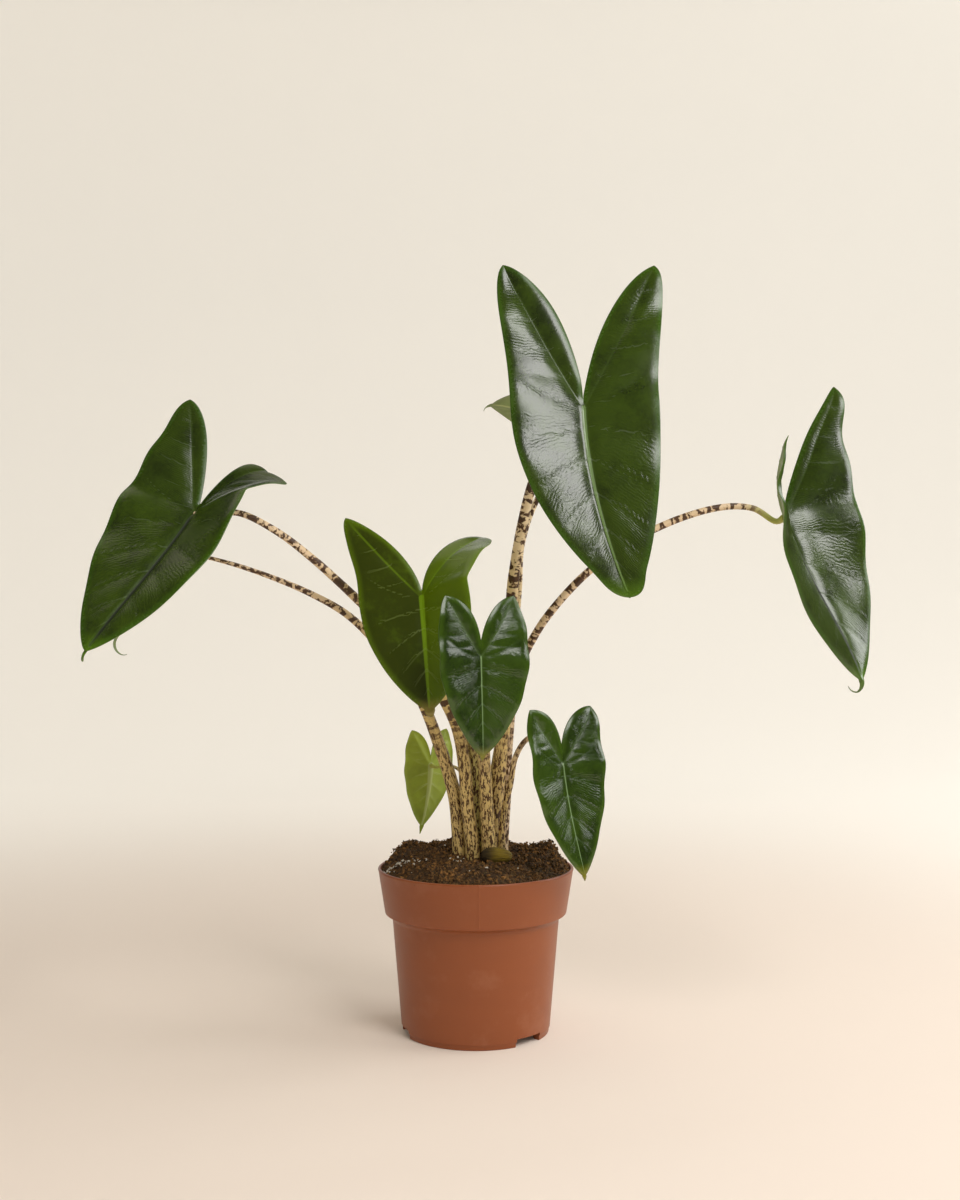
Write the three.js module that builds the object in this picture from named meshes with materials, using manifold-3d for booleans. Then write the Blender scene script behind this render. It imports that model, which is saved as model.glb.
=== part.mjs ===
// Potted alocasia zebrina: nine arrow-shaped blades on banded stalks, in a nursery pot full of soil.
// Millimetres, +Z up, -Y to the front. The origin is on the pot's axis, on the surface that it stands on.
import * as THREE from 'three';
import Module from 'manifold-3d';

const wasm = await Module();
wasm.setup();

const GAP = 0.3;
const FULL_TURN = 2 * Math.PI;

// Pot
const POT = {
  rimRadius: 60,
  bandFootRadius: 55.7,
  shoulderRadius: 51,
  baseRadius: 45.2,
  height: 100,
  bandHeight: 27,
  stepHeight: 5,
  stepBend: 0.6,
  edge: 0.7,
  wall: 1.8,
  floorTop: 5,
  footWidth: 4.5,
  recessHeight: 2.4,
  bossRadius: 13,
  sides: 40,
};
const NOTCH = { count: 3, width: 21, height: 5, depth: 12, outside: 2, firstAngle: -45 };

// Soil
const SOIL = {
  edgeHeight: 98,
  domeHeight: 8,
  heapHeight: 6,
  heapStart: -0.3,
  heapWaves: 9,
  crumbHeight: 1.1,
  edgeInset: 0.2,
  rings: 7,
  stemGap: 0.35,
  holeFlare: 0.8,
};

// Corm, buried under the stalks
const CORM = { centre: [2.5, 0], topRadius: 21, bodyRadius: 23, topHeight: 86, depth: 30, sides: 20 };

// Stalks
const STALK_SIDES = 8;
const STALK_RING_STEP = 14;
const STALK_EXTRA_RINGS = 6;
const SOIL_CLEAR_HEIGHT = 110;
const HOLE_TOP = 125;
const NECK_LENGTH = 7;
const SEAT_GAP = 0.4;

// Blade cross-section
const BLADE = {
  thickness: 0.8,
  ribHeight: 1.3,
  ribWidth: 3,
  waveHeight: 1.2,
  wavesPerLength: 2.6,
  columns: [0, 0.1, 0.45, 0.78, 1],
  lobeRows: 5,
  frontRows: 7,
  dripRows: 3,
  spineSteps: 80,
  spineReach: 1.6,
};

// A blade's outline, as shares of its length and half width
const BROAD = { sinusDepth: 0.06, sinusWidth: 0.55, lobeTip: 0.11, frontFullness: 0.73 };
const ROUND = { sinusDepth: 0.08, sinusWidth: 0.42, lobeTip: 0.11, frontFullness: 0.74 };
const NARROW = { sinusDepth: 0.02, sinusWidth: 0.25, lobeTip: 0.1, frontFullness: 0.74 };
const SHORT = { sinusDepth: 0.14, sinusWidth: 0.52, lobeTip: 0.14, frontFullness: 0.77 };

// Each leaf. at is where the stalk meets the blade. length runs from there to the tip and lobe to a lobe's tip;
// halfWidth is at the stalk, and splay turns the lobes outwards. heading is the tip's compass direction from +X,
// hang its dip and roll its turn about the midrib. bend and nod arch the midrib, sweep curves it sideways, and
// drip is the length, curl and width of the thread at its end. Of each pair the first is the left half, with the tip
// away and the upper face up: fold lifts the half at the stalk, lobeFold at the lobe's tip and tipFold at the
// tip, curl and hook bend its lobe down, and droop lowers the margin. stalk lists the points above the soil.
const LEAVES = {
  crown: {
    outline: BROAD, at: [62, -60, 374], length: 113, halfWidth: 44, lobe: [99, 99], splay: 28,
    heading: -86, hang: 71, roll: 7, bend: 7, nod: 10, sweep: -21, fold: [14, 19], lobeFold: [12, 22],
    tipFold: 8, curl: [4, 0], hook: [0, 0], droop: 0.05, drip: [2, 80, 8],
    base: [10.2, 0.6], stalkRadius: [4.9, 2.3], stalkTaper: 0.8,
    stalk: [[13, 0, 144], [15, -1, 168], [19, -3, 202], [22, -6, 233], [22, -10, 266], [26, -15, 297],
      [33, -24, 330], [42, -35, 352], [54, -47, 367]],
  },
  left: {
    outline: ROUND, at: [-161.5, -60, 314], length: 113, halfWidth: 43, lobe: [77, 87], splay: 21,
    heading: -110, hang: 40, roll: -8, bend: 2, nod: 12, sweep: 15, fold: [33, 18], lobeFold: [-45, 20],
    tipFold: -4, curl: [-23, -26], hook: [70, 0], droop: 0.03, drip: [15, 190, 2],
    base: [-1.8, -8.6], stalkRadius: [4.6, 1.5], stalkTaper: 1,
    stalk: [[-5, -9, 139], [-7, -9, 164], [-11, -9, 185], [-18, -10, 201], [-29, -12, 218], [-47, -16, 240],
      [-72, -22, 265], [-98, -28, 289], [-119, -33, 305], [-140, -38, 315], [-153, -45, 313]],
  },
  right: {
    outline: NARROW, at: [184, -30, 313], length: 107, halfWidth: 49, lobe: [96, 76], splay: 39,
    heading: -38, hang: 70, roll: 11, bend: -30, nod: 34, sweep: -4, fold: [34, 39], lobeFold: [33, 46],
    tipFold: -3, curl: [0, -58], hook: [-6, 3], droop: 0.04, drip: [19, 170, 5],
    base: [17.2, 4.6], stalkRadius: [2.9, 1.6], stalkTaper: 0.6,
    stalk: [[19, 5, 143], [20, 5, 171], [23, 5, 202], [28, 3, 224], [34, 0, 238], [47, -6, 258],
      [71, -12, 283], [107, -18, 306], [145, -20, 319], [167, -18, 319]],
  },
  middle: {
    outline: ROUND, at: [-31, -50, 265], length: 68, halfWidth: 37, lobe: [65, 68], splay: 39,
    heading: -79, hang: 67, roll: 19, bend: 4, nod: 7, sweep: 1, fold: [37, 14], lobeFold: [-40, 17],
    tipFold: 10, curl: [24, 1], hook: [5, 0], droop: 0.04, drip: [8, 140, 6],
    base: [0.2, 1.7], stalkRadius: [4.8, 1.9], stalkTaper: 0.8,
    stalk: [[0, 1, 147], [-2, -3, 178], [-9, -14, 209], [-18, -26, 234], [-25, -35, 252]],
  },
  front: {
    outline: SHORT, at: [3, -85, 232], length: 56, halfWidth: 29, lobe: [41, 41], splay: 34,
    heading: -59, hang: 88, roll: 0, bend: 2, nod: 8, sweep: -4, fold: [18, 12], lobeFold: [3, 6],
    tipFold: 12, curl: [7, 0], hook: [2, 0], droop: 0.05, drip: [3, 30, 3],
    base: [8, -10.6], stalkRadius: [4.9, 1.7], stalkTaper: 0.8,
    stalk: [[6, -13, 149], [5, -20, 176], [6, -36, 202], [4, -58, 219]],
  },
  low_right: {
    outline: SHORT, at: [51, -45, 168], length: 66, halfWidth: 28, lobe: [42, 42], splay: 39,
    heading: -50, hang: 81, roll: 1, bend: -8, nod: 10, sweep: -11, fold: [20, 14], lobeFold: [6, 12],
    tipFold: 6, curl: [5, -5], hook: [2, 0], droop: 0.05, drip: [3, 20, 3],
    base: [15.3, -6.6], stalkRadius: [2.2, 1.3], stalkTaper: 1,
    stalk: [[17, -8, 133], [21, -9, 151], [24, -12, 168], [30, -18, 179], [37, -25, 183], [43, -32, 179]],
  },
  low_left: {
    outline: SHORT, at: [-29, 35, 158], length: 39, halfWidth: 18, lobe: [27, 27], splay: 32,
    heading: 125, hang: 86, roll: 0, bend: -5, nod: 5, sweep: -14, fold: [16, 8], lobeFold: [14, 15],
    tipFold: 8, curl: [5, -13], hook: [0, 0], droop: 0.05, drip: [5, 0, 3],
    base: [-3.8, 9.4], stalkRadius: [1.8, 0.8], stalkTaper: 1,
    stalk: [[-5, 12, 139], [-7, 15, 152], [-12, 20, 158], [-20, 25, 159]],
  },
  back_left: {
    outline: SHORT, at: [-182, -6, 297], length: 78, halfWidth: 29, lobe: [50, 50], splay: 30,
    heading: 150, hang: 46, roll: -14, bend: 2, nod: 3, sweep: 0, fold: [12, 12], lobeFold: [10, 10],
    tipFold: 8, curl: [0, 0], hook: [0, 0], droop: 0.05, drip: [18, 150, 3],
    base: [-9.8, -1], stalkRadius: [5.2, 1], stalkTaper: 1.2,
    stalk: [[-12, -1, 138], [-16, -1, 155], [-23, -1, 176], [-31, -2, 197], [-44, -3, 220], [-59, -4, 236],
      [-79, -5, 255], [-104, -5, 269], [-137, -6, 282], [-161, -6, 289]],
  },
  back: {
    outline: SHORT, at: [66, 22, 359], length: 66, halfWidth: 31, lobe: [44, 44], splay: 28,
    heading: 168, hang: -42, roll: 40, bend: 20, nod: 40, sweep: 0, fold: [14, 14], lobeFold: [10, 10],
    tipFold: 5, curl: [10, 10], hook: [0, 0], droop: 0.05, drip: [8, 60, 3],
    base: [6, 10.4], stalkRadius: [3.6, 1.7], stalkTaper: 1,
    stalk: [[10, 12, 145], [16, 13, 176], [22, 14, 208], [26, 12, 239], [29, 9, 270], [31, 10, 298],
      [40, 14, 326], [52, 17, 346]],
  },
};

// Cataphyll, the short scale at the foot of the stalks
const CATAPHYLL = { at: [12.5, -21, 110], length: 19, width: 10, height: 10, heading: -4 };

function radians(degrees) {
  return degrees * Math.PI / 180;
}

function mix(from, to, share) {
  return from + (to - from) * share;
}

function clamp01(value) {
  return Math.min(Math.max(value, 0), 1);
}

function makeGeometry(vertices, triangles) {
  const geometry = new THREE.BufferGeometry();
  geometry.setAttribute('position', new THREE.Float32BufferAttribute(vertices.flat(), 3));
  geometry.setIndex(triangles.flat());
  geometry.computeVertexNormals();
  return geometry;
}

function toManifold(vertices, triangles) {
  return new wasm.Manifold(new wasm.Mesh({
    numProp: 3,
    vertProperties: new Float32Array(vertices.flat()),
    triVerts: new Uint32Array(triangles.flat()),
  }));
}

function fromManifold(solid) {
  const mesh = solid.getMesh();
  const geometry = new THREE.BufferGeometry();
  geometry.setAttribute('position', new THREE.BufferAttribute(new Float32Array(mesh.vertProperties), 3));
  geometry.setIndex(new THREE.BufferAttribute(new Uint32Array(mesh.triVerts), 1));
  geometry.computeVertexNormals();
  return geometry;
}

function largestPiece(solid) {
  const pieces = solid.decompose();
  return pieces.reduce((best, piece) => (piece.volume() > best.volume() ? piece : best));
}

// Surface of revolution about the Z axis. The profile lists [radius, height] and starts and ends on the axis.
function revolve(profile, sides) {
  const vertices = [];
  const rows = profile.map(([radius, height]) => {
    if (radius === 0) {
      vertices.push([0, 0, height]);
      return Array(sides).fill(vertices.length - 1);
    }
    return Array.from({ length: sides }, (unused, side) => {
      const angle = side / sides * FULL_TURN;
      vertices.push([radius * Math.cos(angle), radius * Math.sin(angle), height]);
      return vertices.length - 1;
    });
  });
  const triangles = [];
  for (let row = 0; row + 1 < rows.length; row += 1) {
    for (let side = 0; side < sides; side += 1) {
      const next = (side + 1) % sides;
      addQuad(triangles, rows[row][side], rows[row][next], rows[row + 1][next], rows[row + 1][side]);
    }
  }
  return { vertices, triangles };
}

function addQuad(triangles, a, b, c, d) {
  addTriangle(triangles, a, b, c);
  addTriangle(triangles, a, c, d);
}

function addTriangle(triangles, a, b, c) {
  if (a !== b && b !== c && c !== a) {
    triangles.push([a, b, c]);
  }
}

// Tube along rings of one size, closed at both ends. Each ring has a centre, two axes and two radii.
function tube(rings, sides) {
  const vertices = [];
  for (const ring of rings) {
    for (let side = 0; side < sides; side += 1) {
      const angle = (side + 0.5) / sides * FULL_TURN;
      const point = ring.centre.clone();
      point.addScaledVector(ring.across, ring.radius * Math.cos(angle));
      point.addScaledVector(ring.up, ring.radius * Math.sin(angle));
      vertices.push(point.toArray());
    }
  }
  const triangles = [];
  for (let row = 0; row + 1 < rings.length; row += 1) {
    for (let side = 0; side < sides; side += 1) {
      const here = row * sides;
      const next = (side + 1) % sides;
      addQuad(triangles, here + side, here + next, here + sides + next, here + sides + side);
    }
  }
  const last = (rings.length - 1) * sides;
  for (let side = 1; side + 1 < sides; side += 1) {
    triangles.push([0, side + 1, side]);
    triangles.push([last, last + side, last + side + 1]);
  }
  return { vertices, triangles };
}

// Pot
function potWallRadius(height) {
  const bandFoot = POT.height - POT.bandHeight;
  const shoulder = bandFoot - POT.stepHeight;
  if (height >= bandFoot) {
    return mix(POT.bandFootRadius, POT.rimRadius, (height - bandFoot) / POT.bandHeight);
  }
  if (height >= shoulder) {
    return mix(POT.shoulderRadius, POT.bandFootRadius, ((height - shoulder) / POT.stepHeight) ** 2);
  }
  return mix(POT.baseRadius, POT.shoulderRadius, height / shoulder);
}

function potInsideProfile(inset) {
  const bandFoot = POT.height - POT.bandHeight;
  const shoulder = bandFoot - POT.stepHeight;
  return [POT.floorTop, shoulder, mix(shoulder, bandFoot, POT.stepBend), bandFoot, POT.height].map(
    (height) => [potWallRadius(height) - POT.wall - inset, height],
  );
}

function makePot() {
  const bandFoot = POT.height - POT.bandHeight;
  const shoulder = bandFoot - POT.stepHeight;
  const stepMiddle = mix(shoulder, bandFoot, POT.stepBend);
  const footInside = POT.baseRadius - POT.footWidth;
  const { edge } = POT;
  const profile = [
    [0, 0],
    [POT.bossRadius, 0],
    [POT.bossRadius + 1, POT.recessHeight],
    [footInside - 1, POT.recessHeight],
    [footInside, 0],
    [POT.baseRadius - edge, 0],
    [POT.baseRadius, edge],
    [potWallRadius(shoulder), shoulder],
    [potWallRadius(stepMiddle), stepMiddle],
    [potWallRadius(bandFoot), bandFoot - edge],
    [potWallRadius(POT.height), POT.height - edge],
    [potWallRadius(POT.height) - edge, POT.height],
    ...potInsideProfile(0).reverse(),
    [0, POT.floorTop],
  ];
  const { vertices, triangles } = revolve(profile, POT.sides);
  let solid = toManifold(vertices, triangles);
  for (let index = 0; index < NOTCH.count; index += 1) {
    const cutter = wasm.Manifold.cube([NOTCH.depth, NOTCH.width, 2 * NOTCH.height], true);
    const middle = POT.baseRadius - NOTCH.depth / 2 + NOTCH.outside;
    const angle = NOTCH.firstAngle + index / NOTCH.count * 360;
    solid = solid.subtract(cutter.translate([middle, 0, 0]).rotate([0, 0, angle]));
  }
  return fromManifold(largestPiece(solid));
}

// Soil
function crumbNoise(x, y) {
  return Math.sin(x * 0.61 + 1.3 * Math.sin(y * 0.47)) * Math.sin(y * 0.73 + 1.7 * Math.sin(x * 0.39));
}

function soilHeight(x, y, share) {
  const dome = SOIL.domeHeight * (1 - share ** 6);
  const back = clamp01(y / POT.rimRadius - SOIL.heapStart);
  const bumps = 0.75 + 0.25 * Math.cos(x / SOIL.heapWaves);
  const heap = SOIL.heapHeight * back * (1 - share ** 14) * bumps;
  return SOIL.edgeHeight + dome + heap + SOIL.crumbHeight * crumbNoise(x, y) * (1 - share ** 8);
}

function makeSoil(hollows) {
  const profile = [[0, POT.floorTop + GAP], ...potInsideProfile(GAP)];
  profile[1][1] += GAP;
  const [edgeRadius] = profile[profile.length - 1];
  profile[profile.length - 1] = [edgeRadius - SOIL.edgeInset, SOIL.edgeHeight];
  for (let ring = SOIL.rings - 1; ring > 0; ring -= 1) {
    profile.push([edgeRadius * ring / SOIL.rings, SOIL.edgeHeight + 1]);
  }
  profile.push([0, SOIL.edgeHeight + 1]);
  const { vertices, triangles } = revolve(profile, POT.sides);
  const raised = vertices.map(([x, y, z]) => {
    const share = Math.hypot(x, y) / edgeRadius;
    return z > SOIL.edgeHeight ? [x, y, soilHeight(x, y, share)] : [x, y, z];
  });
  const solid = toManifold(raised, triangles);
  return fromManifold(largestPiece(solid.subtract(wasm.Manifold.union(hollows))));
}

// Corm
function cormProfile(inset) {
  const top = CORM.topHeight + inset;
  return [
    [0, top - CORM.depth - 2 * inset],
    [CORM.bodyRadius * 0.5 + inset, top - CORM.depth * 0.94 - 2 * inset],
    [CORM.bodyRadius * 0.9 + inset, top - CORM.depth * 0.68 - 2 * inset],
    [CORM.bodyRadius + inset, top - CORM.depth * 0.38 - 2 * inset],
    [CORM.topRadius + inset, top],
    [0, top],
  ];
}

function cormSolid(inset) {
  const { vertices, triangles } = revolve(cormProfile(inset), CORM.sides);
  const [x, y] = CORM.centre;
  return toManifold(vertices, triangles).translate([x, y, 0]);
}

// Blades: a point of the flat blade is [along, across], from the stalk towards the tip and out from the midrib.
function bezier(points, share) {
  const rest = 1 - share;
  const weights = [rest ** 3, 3 * rest * rest * share, 3 * rest * share * share, share ** 3];
  return [0, 1].map((axis) => points.reduce((sum, point, index) => sum + weights[index] * point[axis], 0));
}

function lobeEdges(leaf, half) {
  const { outline, halfWidth } = leaf;
  const lobe = leaf.lobe[half];
  const angle = radians(leaf.splay);
  const outwards = [Math.sin(angle), Math.cos(angle)];
  const tip = [-lobe * Math.cos(angle), lobe * Math.sin(angle)];
  const sinus = [-outline.sinusDepth * leaf.length, 0];
  const round = outline.lobeTip * lobe;
  const shoulder = [0, halfWidth];
  return {
    inner: [
      tip,
      [tip[0] + 0.1 * lobe - 1.2 * round * outwards[0], tip[1] - 1.2 * round * outwards[1]],
      [sinus[0] - outline.sinusWidth * lobe, 0.1 * lobe],
      sinus,
    ],
    outer: [
      tip,
      [tip[0] + 0.05 * lobe + round * outwards[0], tip[1] + round * outwards[1]],
      [shoulder[0] - 0.4 * lobe, shoulder[1]],
      shoulder,
    ],
  };
}

// Rows of a half blade, each with the inner and the outer point that it runs between.
function bladeRows(leaf, half) {
  const { inner, outer } = lobeEdges(leaf, half);
  const rows = [];
  for (let row = 0; row <= BLADE.lobeRows; row += 1) {
    rows.push({
      inner: bezier(inner, row / BLADE.lobeRows),
      outer: bezier(outer, row / (BLADE.lobeRows + 1)),
    });
  }
  const [dripLength, , dripWidth] = leaf.drip;
  for (let row = 0; row <= BLADE.frontRows; row += 1) {
    const share = Math.sin(row / BLADE.frontRows * Math.PI / 2);
    const fullness = Math.cos(share * Math.PI / 2) ** leaf.outline.frontFullness;
    const width = Math.max(leaf.halfWidth * fullness, dripWidth / 2);
    rows.push({ inner: [leaf.length * share, 0], outer: [leaf.length * share, width] });
  }
  for (let row = 1; row <= BLADE.dripRows; row += 1) {
    const share = row / BLADE.dripRows;
    const along = leaf.length + dripLength * share;
    rows.push({ inner: [along, 0], outer: [along, dripWidth / 2 * (1 - share)] });
  }
  return rows;
}

// Table of a bent spine: distance forward, height and slope at even steps along it.
function bentSpine(length, angleAt) {
  const step = BLADE.spineReach / BLADE.spineSteps;
  const table = [{ forward: 0, height: 0, slope: angleAt(0) }];
  for (let index = 1; index <= BLADE.spineSteps; index += 1) {
    const last = table[index - 1];
    const slope = angleAt(index * step);
    const middle = (slope + last.slope) / 2;
    table.push({
      forward: last.forward + Math.cos(middle) * step * length,
      height: last.height - Math.sin(middle) * step * length,
      slope,
    });
  }
  return (share) => {
    const place = Math.min(share / step, BLADE.spineSteps - 1e-6);
    const low = Math.floor(place);
    const part = place - low;
    return {
      forward: mix(table[low].forward, table[low + 1].forward, part),
      height: mix(table[low].height, table[low + 1].height, part),
      slope: mix(table[low].slope, table[low + 1].slope, part),
    };
  };
}

function bladeAxes(leaf) {
  const heading = radians(leaf.heading);
  const hang = radians(leaf.hang);
  const roll = radians(leaf.roll);
  const forward = new THREE.Vector3(
    Math.cos(heading) * Math.cos(hang),
    Math.sin(heading) * Math.cos(hang),
    -Math.sin(hang),
  );
  const level = new THREE.Vector3(
    Math.cos(heading) * Math.sin(hang),
    Math.sin(heading) * Math.sin(hang),
    Math.cos(hang),
  );
  const side = new THREE.Vector3().crossVectors(forward, level);
  const normal = level.clone().multiplyScalar(Math.cos(roll)).addScaledVector(side, Math.sin(roll));
  const right = side.clone().multiplyScalar(Math.cos(roll)).addScaledVector(level, -Math.sin(roll));
  return { forward, normal, right };
}

// Bends the flat half blade into its place: half 0 is the left one and half 1 the right one.
function bladeShaper(leaf, half) {
  const { forward, normal, right } = bladeAxes(leaf);
  const [dripLength, dripCurl] = leaf.drip;
  const dripShare = dripLength / leaf.length;
  const frontSpine = bentSpine(leaf.length, (share) => {
    const arch = leaf.bend * Math.min(share, 1) + leaf.nod * Math.min(share, 1) ** 3;
    return radians(arch + dripCurl * Math.max(share - 1, 0) / dripShare);
  });
  const lobe = leaf.lobe[half];
  const lobeSpine = bentSpine(lobe, (share) => radians(leaf.curl[half] * share + leaf.hook[half] * share ** 3));
  const sign = half === 1 ? 1 : -1;
  const origin = new THREE.Vector3(...leaf.at);
  return ([along, across]) => {
    const inFront = along > 0;
    const share = inFront ? along / leaf.length : -along / lobe;
    const spine = inFront ? frontSpine(share) : lobeSpine(share);
    const flip = inFront ? 1 : -1;
    const endFold = inFront ? leaf.tipFold : leaf.lobeFold[half];
    const fold = radians(mix(leaf.fold[half], endFold, clamp01(share)));
    const outwards = across / leaf.halfWidth;
    const waving = Math.sin(along / leaf.length * BLADE.wavesPerLength * FULL_TURN + 2 * half + leaf.roll);
    const rise = across * Math.sin(fold)
      - leaf.droop * leaf.halfWidth * Math.min(outwards, 1.5) ** 3
      + BLADE.waveHeight * leaf.length / 100 * waving * outwards * outwards;
    const sway = inFront ? radians(leaf.sweep) * 0.5 * leaf.length * Math.min(share, 1.2) ** 2 : 0;
    const point = origin.clone();
    point.addScaledVector(forward, flip * spine.forward + rise * flip * Math.sin(spine.slope));
    point.addScaledVector(normal, spine.height + rise * Math.cos(spine.slope));
    point.addScaledVector(right, sign * across * Math.cos(fold) + sway);
    return point;
  };
}

// Height of the ribs under a point of the flat blade: the midrib, and one rib into each lobe.
function ribHeight(leaf, half, [along, across]) {
  const angle = radians(leaf.splay);
  const lobe = leaf.lobe[half];
  const midShare = clamp01(along / leaf.length);
  const toMidrib = along > 0 ? across : Math.hypot(along, across);
  const alongLobe = clamp01((-along * Math.cos(angle) + across * Math.sin(angle)) / lobe);
  const lobeAxis = [-Math.cos(angle) * alongLobe * lobe, Math.sin(angle) * alongLobe * lobe];
  const toLobeRib = Math.hypot(along - lobeAxis[0], across - lobeAxis[1]);
  const midrib = (1 - 0.8 * midShare) * Math.exp(-((toMidrib / BLADE.ribWidth) ** 2));
  const lobeRib = 0.7 * (1 - alongLobe) * Math.exp(-((toLobeRib / BLADE.ribWidth) ** 2));
  return BLADE.ribHeight * leaf.length / 100 * Math.max(midrib, lobeRib);
}

function makeBlade(leaf) {
  const points = [];
  const ribs = [];
  const halves = [0, 1].map((half) => {
    const shape = bladeShaper(leaf, half);
    return bladeRows(leaf, half).map(({ inner, outer }) => BLADE.columns.map((column) => {
      const flat = [mix(inner[0], outer[0], column), mix(inner[1], outer[1], column)];
      points.push(shape(flat));
      ribs.push(ribHeight(leaf, half, flat));
      return points.length - 1;
    }));
  });
  // The halves share the midrib, and each lobe's tip and the leaf's tip is one point.
  const [left, right] = halves;
  const lastRow = left.length - 1;
  for (let row = BLADE.lobeRows; row <= lastRow; row += 1) {
    right[row][0] = left[row][0];
  }
  left[0].fill(left[0][0]);
  right[0].fill(right[0][0]);
  left[lastRow].fill(left[lastRow][0]);
  right[lastRow].fill(left[lastRow][0]);

  const sheet = [];
  halves.forEach((rows, half) => {
    for (let row = 0; row < lastRow; row += 1) {
      for (let column = 0; column + 1 < BLADE.columns.length; column += 1) {
        const corners = [
          rows[row][column], rows[row + 1][column], rows[row + 1][column + 1], rows[row][column + 1],
        ];
        addQuad(sheet, ...(half === 1 ? corners.reverse() : corners));
      }
    }
  });
  return thicken(points, ribs, sheet);
}

// Closed solid round a sheet: its upper face, its lower face with the ribs, and a rim between them.
function thicken(points, ribs, sheet) {
  const normals = points.map(() => new THREE.Vector3());
  const first = new THREE.Vector3();
  const second = new THREE.Vector3();
  for (const [a, b, c] of sheet) {
    first.subVectors(points[b], points[a]);
    second.subVectors(points[c], points[a]).cross(first).negate();
    for (const corner of [a, b, c]) {
      normals[corner].add(second);
    }
  }
  const used = [...new Set(sheet.flat())];
  const order = new Map(used.map((corner, index) => [corner, index]));
  const half = BLADE.thickness / 2;
  const upper = used.map((corner) => points[corner].clone().addScaledVector(normals[corner].normalize(), half));
  const lower = used.map((corner) => {
    return points[corner].clone().addScaledVector(normals[corner], -half - ribs[corner]);
  });
  const vertices = [...upper, ...lower].map((point) => point.toArray());
  const count = used.length;
  const triangles = [];
  const edges = new Map();
  for (const corners of sheet) {
    const [a, b, c] = corners.map((corner) => order.get(corner));
    triangles.push([a, b, c]);
    triangles.push([a + count, c + count, b + count]);
    for (const [from, to] of [[a, b], [b, c], [c, a]]) {
      edges.set(`${from} ${to}`, [from, to]);
    }
  }
  for (const [from, to] of edges.values()) {
    if (!edges.has(`${to} ${from}`)) {
      addQuad(triangles, to, from, from + count, to + count);
    }
  }
  return makeGeometry(vertices, triangles);
}

// Stalks
function stalkPoints(leaf) {
  const { normal } = bladeAxes(leaf);
  const [x, y] = leaf.base;
  const junction = new THREE.Vector3(...leaf.at);
  const seat = BLADE.thickness / 2 + BLADE.ribHeight * leaf.length / 100 + SEAT_GAP;
  return [
    new THREE.Vector3(x, y, CORM.topHeight + GAP),
    new THREE.Vector3(x, y, (CORM.topHeight + SOIL_CLEAR_HEIGHT) / 2),
    new THREE.Vector3(x, y, SOIL_CLEAR_HEIGHT),
    ...leaf.stalk.map((point) => new THREE.Vector3(...point)),
    junction.clone().addScaledVector(normal, -NECK_LENGTH),
    junction.clone().addScaledVector(normal, -seat),
  ];
}

function stalkRings(leaf) {
  const curve = new THREE.CatmullRomCurve3(stalkPoints(leaf), false, 'centripetal');
  curve.arcLengthDivisions = 400;
  const count = Math.round(curve.getLength() / STALK_RING_STEP) + STALK_EXTRA_RINGS;
  const [baseRadius, topRadius] = leaf.stalkRadius;
  let across = new THREE.Vector3(1, 0, 0);
  return Array.from({ length: count + 1 }, (unused, index) => {
    const share = index / count;
    const tangent = curve.getTangentAt(share);
    if (index === 0) {
      tangent.set(0, 0, 1);
    }
    if (index === count) {
      tangent.copy(bladeAxes(leaf).normal);
    }
    across = across.clone().addScaledVector(tangent, -across.dot(tangent)).normalize();
    return {
      centre: curve.getPointAt(share),
      across,
      up: new THREE.Vector3().crossVectors(tangent, across),
      radius: mix(topRadius, baseRadius, (1 - share) ** leaf.stalkTaper),
    };
  });
}

function makeStalk(leaf) {
  const { vertices, triangles } = tube(stalkRings(leaf), STALK_SIDES);
  return makeGeometry(vertices, triangles);
}

function stalkHole(leaf) {
  const [x, y] = leaf.base;
  const radius = leaf.stalkRadius[0] + SOIL.stemGap;
  const height = HOLE_TOP - CORM.topHeight;
  const hole = wasm.Manifold.cylinder(height, radius, radius + SOIL.holeFlare, 2 * STALK_SIDES);
  return hole.translate([x, y, CORM.topHeight]);
}

// Cataphyll: a flattened rounded scale that lies half sunk in the soil.
function cataphyllSolid(inset) {
  const { at, length, width, height, heading } = CATAPHYLL;
  const ball = wasm.Manifold.sphere(0.5, 12);
  const scale = ball.scale([length + 2 * inset, width + 2 * inset, height + 2 * inset]);
  return scale.rotate([0, 0, heading]).translate(at);
}

// Each look is a colour and a roughness.
const LOOKS = {
  pot: [0x9c5c3c, 0.55],
  soil: [0x3a271b, 1],
  corm: [0x6b4a30, 0.9],
  petiole: [0xb59e78, 0.55],
  blade: [0x2c4a16, 0.35],
  blade_bluish: [0x24452a, 0.3],
  blade_young: [0x5d7420, 0.4],
  cataphyll: [0x5e5412, 0.6],
};
const BLADE_LOOKS = {
  middle: 'blade_young',
  low_left: 'blade_young',
  front: 'blade_bluish',
  low_right: 'blade_bluish',
};

const part = new THREE.Group();
part.name = 'potted_alocasia_zebrina';

function addPiece(name, geometry, look) {
  const [color, roughness] = LOOKS[look];
  const material = new THREE.MeshStandardMaterial({ color, roughness, metalness: 0 });
  material.name = look;
  const mesh = new THREE.Mesh(geometry, material);
  mesh.name = name;
  part.add(mesh);
}

const leaves = Object.entries(LEAVES);
const hollows = [...leaves.map(([, leaf]) => stalkHole(leaf)), cormSolid(GAP), cataphyllSolid(GAP)];
addPiece('pot', makePot(), 'pot');
addPiece('soil', makeSoil(hollows), 'soil');
addPiece('corm', fromManifold(cormSolid(0)), 'corm');
for (const [name, leaf] of leaves) {
  addPiece(`petiole_${name}`, makeStalk(leaf), 'petiole');
  addPiece(`blade_${name}`, makeBlade(leaf), BLADE_LOOKS[name] ?? 'blade');
}
addPiece('cataphyll', fromManifold(cataphyllSolid(0)), 'cataphyll');

export default part;
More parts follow.
